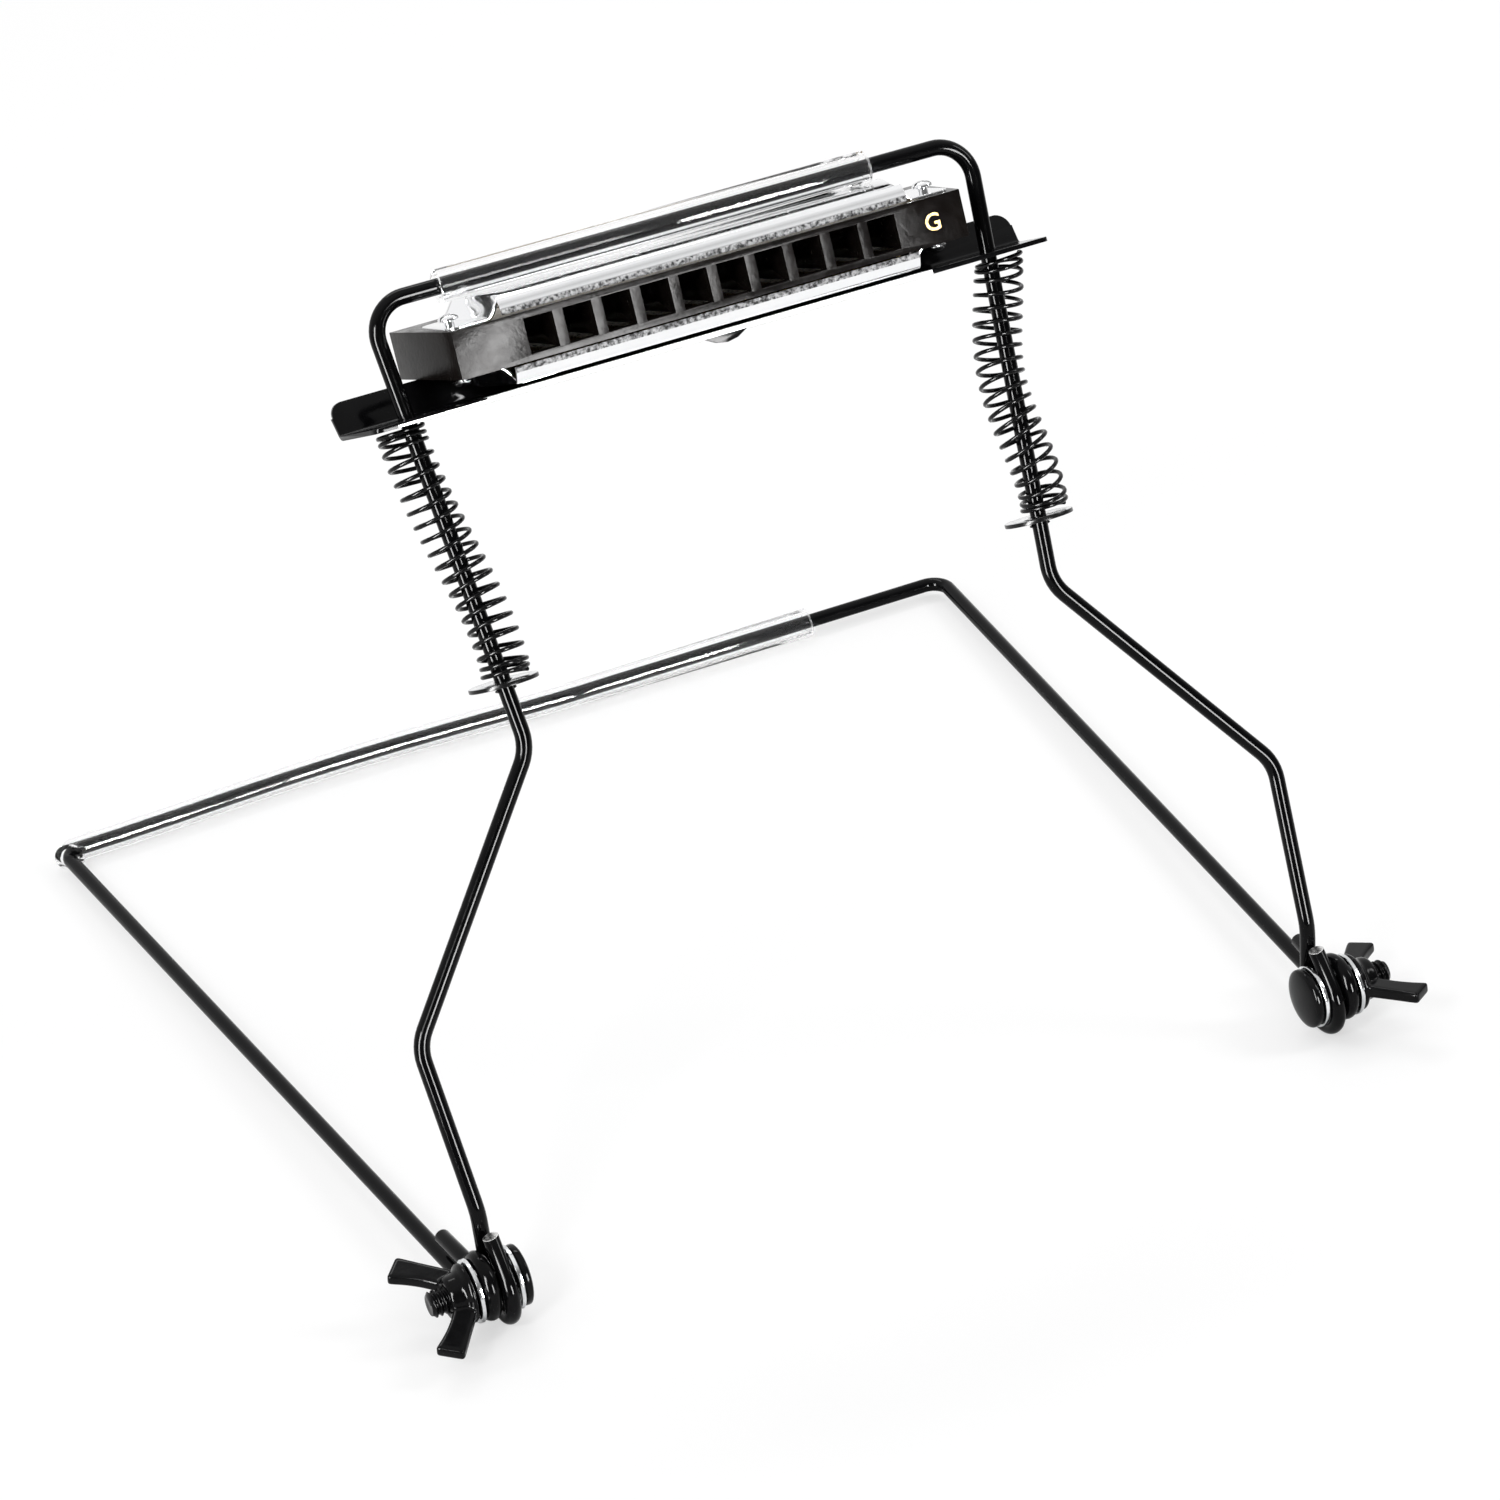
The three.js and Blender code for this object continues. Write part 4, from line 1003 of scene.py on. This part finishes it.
hub_section = [
    (2.6, 0.1), (2.8, 0), (5.3, 0), (5.6, 0.2), (5.6, 0.7), (5.2, 1.1), (4.6, 1.5), (4.25, 2.1),
    (4.15, 3), (4.05, nut_height - 0.7), (3.7, nut_height - 0.1), (3.2, nut_height),
    (2.8, nut_height - 0.1), (2.6, nut_height - 0.4),
]
for side, word, turn, flares in ((-1, "left", 12, (49, 38)), (1, "right", -7, (42, 36))):
    nut = turned(f"wing_nut_{word}_pressing", hub_section, steps=48)
    blades = [wing_blade(way, math.radians(flare)) for way, flare in zip((0, math.pi), flares)]
    pick(*blades, nut)
    bpy.ops.object.join()
    melt = nut.modifiers.new("melt", "REMESH")
    melt.mode = "VOXEL"
    melt.voxel_size = nut_grain * mm
    soften = nut.modifiers.new("soften", "SMOOTH")
    soften.factor = 0.5
    soften.iterations = 14
    for modifier in ("melt", "soften"):
        bpy.ops.object.modifier_apply(modifier=modifier)
    nut.data.transform(outwards(side, nut_seat, turn))
    smooth(nut, 60)
    dress(nut, f"nut_{word}", "black_hardware", black_hardware, f"wing_nut_{word}")

# The harmonica's comb
# One dark moulded plastic block with ten holes in front. Its partitions have rounded front edges,
# and its end blocks are bare between the covers' ends.
comb_depth = 26.5
comb_height = 8.7
hole_pitch = 7.5
holes = 10
comb_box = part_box("comb")
harp_turned = Matrix.Rotation(-harp_turn, 4, "X")
harp_place = Matrix.Translation((
    (comb_box[0].x + comb_box[1].x) / 2,
    comb_box[0].y,
    comb_box[0].z + comb_depth * math.sin(harp_turn) * mm,
)) @ harp_turned

comb_plastic = cloudy_finish(
    "comb_plastic", ((0.004, 0.003, 0.0027), (0.009, 0.0068, 0.0058)), tone_size=7,
    gloss=(0.14, 0.28), gloss_size=3, grain=(0.9, 0.03), Specular_IOR_Level=0.07,
)

comb = finer_copy("comb", "comb_block")
middle_hole = (holes - 1) / 2
hole_half = 2.55
mouth_draft = 0.22
block_edge = 0.5
from_comb = harp_place.inverted()
for vertex in comb.data.vertices:
    x, y, z = (from_comb @ vertex.co) / mm
    column = round(x / hole_pitch + middle_hole)
    beside = x - hole_pitch * (column - middle_hole)
    in_front = abs(y) < 0.05 and block_edge < z < comb_height - block_edge
    if 0 <= column < holes and in_front and abs(abs(beside) - hole_half) < 0.1:
        x += math.copysign(mouth_draft, beside)
        z += math.copysign(mouth_draft, z - comb_height / 2)
        vertex.co = harp_place @ (Vector((x, y, z)) * mm)
round_edges(comb, width=0.53, segments=4, angle=40)
smooth(comb, 40)
dress(comb, "harmonica", "comb_plastic", comb_plastic, "comb")

# The reed plates
# Two plates of rolled brass, with one reed riveted over each slot. The covers hold them on the
# comb. They show only in the holes and behind the covers, so the imported solids are kept.
# The brass is given a dark tone: painted shade for the holes it shows in.
reed_brass = cloudy_finish(
    "reed_brass", ((0.14, 0.1, 0.04), (0.22, 0.16, 0.07)), tone_size=4,
    gloss=(0.2, 0.4), gloss_size=0.8, grain=(0.6, 0.02), Metallic=1.0,
)
for node in ("lower_reed_plate", "upper_reed_plate"):
    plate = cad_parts[node]
    for place in plate.material_slots:
        place.material = reed_brass

# The covers
# Pressed steel sheets in bright chrome. The front rises from a crimped foot over a steep slope to a
# flat crown. Behind it each end runs down in a drawn ramp to a tab, which a screw holds down.
cover_rows = [
    (0.55, 0.35), (0.5, 0.6), (0.5, 1.0), (0.52, 1.4), (0.72, 1.66), (0.95, 2.2), (1.2, 2.72),
    (1.5, 3.17), (1.92, 3.47), (2.6, 3.62), (3.6, 3.73), (5.2, 3.84), (7.4, 3.94), (9.8, 3.98),
    (12.2, 4.0), (14.6, 4.0), (16.6, 3.98), (17.8, 3.88), (18.5, 3.55), (18.9, 3.05), (19.05, 2.45),
]
foot_rows = 4
slope_rows = 9
slope_half = 39.9
ramp_start = 38.3
ramp_spread = 4.2
ramp_length = 3.6
tab_end = 49.6
tab_corner = 2
cover_sheet = 0.5
tab_height = 0.3
ramp_share = 0.8
tab_share = 0.92
crease_depth = 0.3

cover_chrome = cloudy_finish(
    "cover_chrome", ((0.84, 0.85, 0.86), (0.93, 0.93, 0.94)), tone_size=20,
    gloss=(0.05, 0.12), gloss_size=6, grain=(9, 0.04), Metallic=1.0,
)

# The crimped foot is dull, with a fine grain of dark and light points in its colour: painted
# glints and painted shade that stand in for the sparkle of its crimps.
crimped_painted_glints = cloudy_finish(
    "crimped_painted_glints", ((0.03, 0.03, 0.031), (0.72, 0.72, 0.73)), tone_size=0.7,
    gloss=(0.25, 0.5), gloss_size=0.9, grain=(0.6, 0.4), spread=(-0.4, 1.4),
    Specular_IOR_Level=0.15,
)


def cover_point(along, row):
    """A place on the cover: along is its distance from the middle, row its line in the section."""
    y, z = cover_rows[row]
    if row < slope_rows:
        return along * slope_half / tab_end, y, z
    reach = abs(along) / tab_end
    back = (y - cover_rows[slope_rows][0]) / (cover_rows[-1][0] - cover_rows[slope_rows][0])
    start = ramp_start + ramp_spread * back
    stations = ((0, 0), (ramp_share, start), (tab_share, start + ramp_length), (1, tab_end))
    x = tab_end
    for (near, inner), (far, outer) in zip(stations, stations[1:]):
        if near <= reach <= far:
            x = inner + (outer - inner) * (reach - near) / (far - near)
    fall = min(1, max(0, (x - start) / ramp_length))
    fall = fall * fall * (3 - 2 * fall)
    crease = crease_depth * math.sin(2.2 * y + 1.3) * math.sin(math.pi * fall)
    z = z + (tab_height - z) * fall + crease
    left = tab_end - x
    if left < tab_corner:
        inset = tab_corner - math.sqrt(tab_corner ** 2 - (tab_corner - left) ** 2)
        middle = (cover_rows[slope_rows][0] + cover_rows[-1][0]) / 2
        half = (cover_rows[-1][0] - cover_rows[slope_rows][0]) / 2
        y = middle + (y - middle) * (half - inset) / half
    return math.copysign(x, along), y, z


def press_cover(name, top):
    """One cover, drawn from a flat sheet."""
    stations = [1 - (1 - tab_share) * i / 10 for i in range(10)]
    stations += [tab_share - (tab_share - ramp_share) * i / 12 for i in range(12)]
    stations += [ramp_share - ramp_share * i / 24 for i in range(25)]
    stations = sorted([-s for s in stations[:-1]]) + sorted(stations)
    bpy.ops.object.select_all(action="DESELECT")
    bpy.ops.mesh.primitive_grid_add(
        x_subdivisions=len(stations) - 1, y_subdivisions=len(cover_rows) - 1, size=2 * mm,
    )
    cover = bpy.context.object
    cover.name = name
    count = len(stations)
    for i, vertex in enumerate(cover.data.vertices):
        x, y, z = cover_point(stations[i % count] * tab_end, i // count)
        vertex.co = Vector((x, y, z)) * mm
    cover.data.materials.append(cover_chrome)
    cover.data.materials.append(crimped_painted_glints)
    for face in cover.data.polygons:
        if max(vertex // count for vertex in face.vertices) < foot_rows:
            face.material_index = 1
    bpy.ops.object.mode_set(mode="EDIT")
    bpy.ops.mesh.select_mode(type="FACE")
    bpy.ops.mesh.select_all(action="DESELECT")
    shape = bmesh.from_edit_mesh(cover.data)
    shape.faces.ensure_lookup_table()
    for face in shape.faces:
        rows = [vertex.index // count for vertex in face.verts]
        reaches = [abs(stations[vertex.index % count]) for vertex in face.verts]
        face.select = min(rows) < slope_rows <= max(rows) and max(reaches) > ramp_share + 0.001
    bmesh.update_edit_mesh(cover.data)
    bpy.ops.mesh.delete(type="FACE")
    bpy.ops.mesh.select_mode(type="VERT")
    bpy.ops.object.mode_set(mode="OBJECT")
    give_wall(cover, cover_sheet)
    round_edges(cover, width=0.1, segments=2, angle=55)
    if top:
        cover.data.transform(harp_place @ Matrix.Translation((0, 0, comb_height * mm)))
    else:
        cover.data.transform(harp_place @ Matrix.Diagonal((1, 1, -1, 1)))
        cover.data.flip_normals()
    smooth(cover, 50)
    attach(cover, "harmonica")
    return cover


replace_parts(press_cover("top_cover_sheet", True), "top_cover")
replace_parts(press_cover("bottom_cover_sheet", False), "bottom_cover")

# The cover screws
# Small chromed screws with domed heads, hollow in the middle like a closed rivet. One at each end
# of each cover goes through its tab into the comb.
screw_place = 47
screw_back = 9.4
screw_seat = 1.1
screw_section = [(radius, screw_seat + height) for radius, height in (
    (0, -3.2), (0.9, -3.2), (0.9, 0), (1.75, 0), (1.9, 0.15), (1.86, 0.45), (1.6, 0.8),
    (1.25, 1.02), (0.95, 1.08), (0.72, 0.98), (0.62, 0.7), (0, 0.66),
)]
for top, level in ((True, "top"), (False, "bottom")):
    for side, word in both_sides:
        screw = turned(f"{level}_screw_{word}_head", screw_section, steps=36)
        flip = Matrix.Identity(4) if top else Matrix.Rotation(math.pi, 4, "X")
        height = comb_height if top else 0
        place = Matrix.Translation((side * screw_place * mm, screw_back * mm, height * mm))
        screw.data.transform(harp_place @ place @ flip)
        smooth(screw, 50)
        dress(screw, "harmonica", "cover_chrome", cover_chrome, f"{level}_screw_{word}")

# The numbers and the key's letter
# The holes' numbers are pressed lightly in the top cover's crown, each behind its own hole. The key
# is printed in gold on the comb's right end block.
key_gold = cloudy_finish(
    "key_gold", ((0.34, 0.22, 0.07), (0.6, 0.44, 0.18)), tone_size=0.8,
    gloss=(0.25, 0.4), gloss_size=0.6, Metallic=0.6,
)
number_grey = cloudy_finish(
    "number_grey", ((0.3, 0.3, 0.31), (0.45, 0.45, 0.46)), tone_size=0.8,
    gloss=(0.2, 0.35), gloss_size=0.6, Metallic=0.9,
)


def lettering(name, words, size, place, material, slot, weight=0):
    """Thin flat lettering, laid on the harmonica at a place."""
    bpy.ops.object.select_all(action="DESELECT")
    bpy.ops.object.text_add()
    text = bpy.context.object
    text.name = name
    text.data.body = words
    text.data.size = size * mm
    text.data.extrude = 0.02 * mm
    text.data.offset = weight * mm
    text.data.align_x = "CENTER"
    text.data.align_y = "CENTER"
    text.data.resolution_u = 4
    bpy.ops.object.convert(target="MESH")
    text = bpy.context.object
    text.data.transform(harp_place @ place)
    dress(text, "harmonica", slot, material)


number_size = 1.7
number_back = 5.2
crown_height = 3.85
crown_tilt = Matrix.Rotation(math.radians(3.2), 4, "X")
for i in range(holes):
    on_crown = Vector((hole_pitch * (i - middle_hole), number_back, comb_height + crown_height))
    place = Matrix.Translation(on_crown * mm) @ crown_tilt
    lettering(f"hole_number_{i + 1}", str(i + 1), number_size, place, number_grey, "cover_chrome")
key_size = 4.5
key_side = 43.6
key_drop = 0.3
key_place = Vector((key_side, -0.01, comb_height / 2 - key_drop))
place = Matrix.Translation(key_place * mm) @ Matrix.Rotation(math.pi / 2, 4, "X")
lettering("key_letter", "G", key_size, place, key_gold, "comb_plastic", weight=0.05)
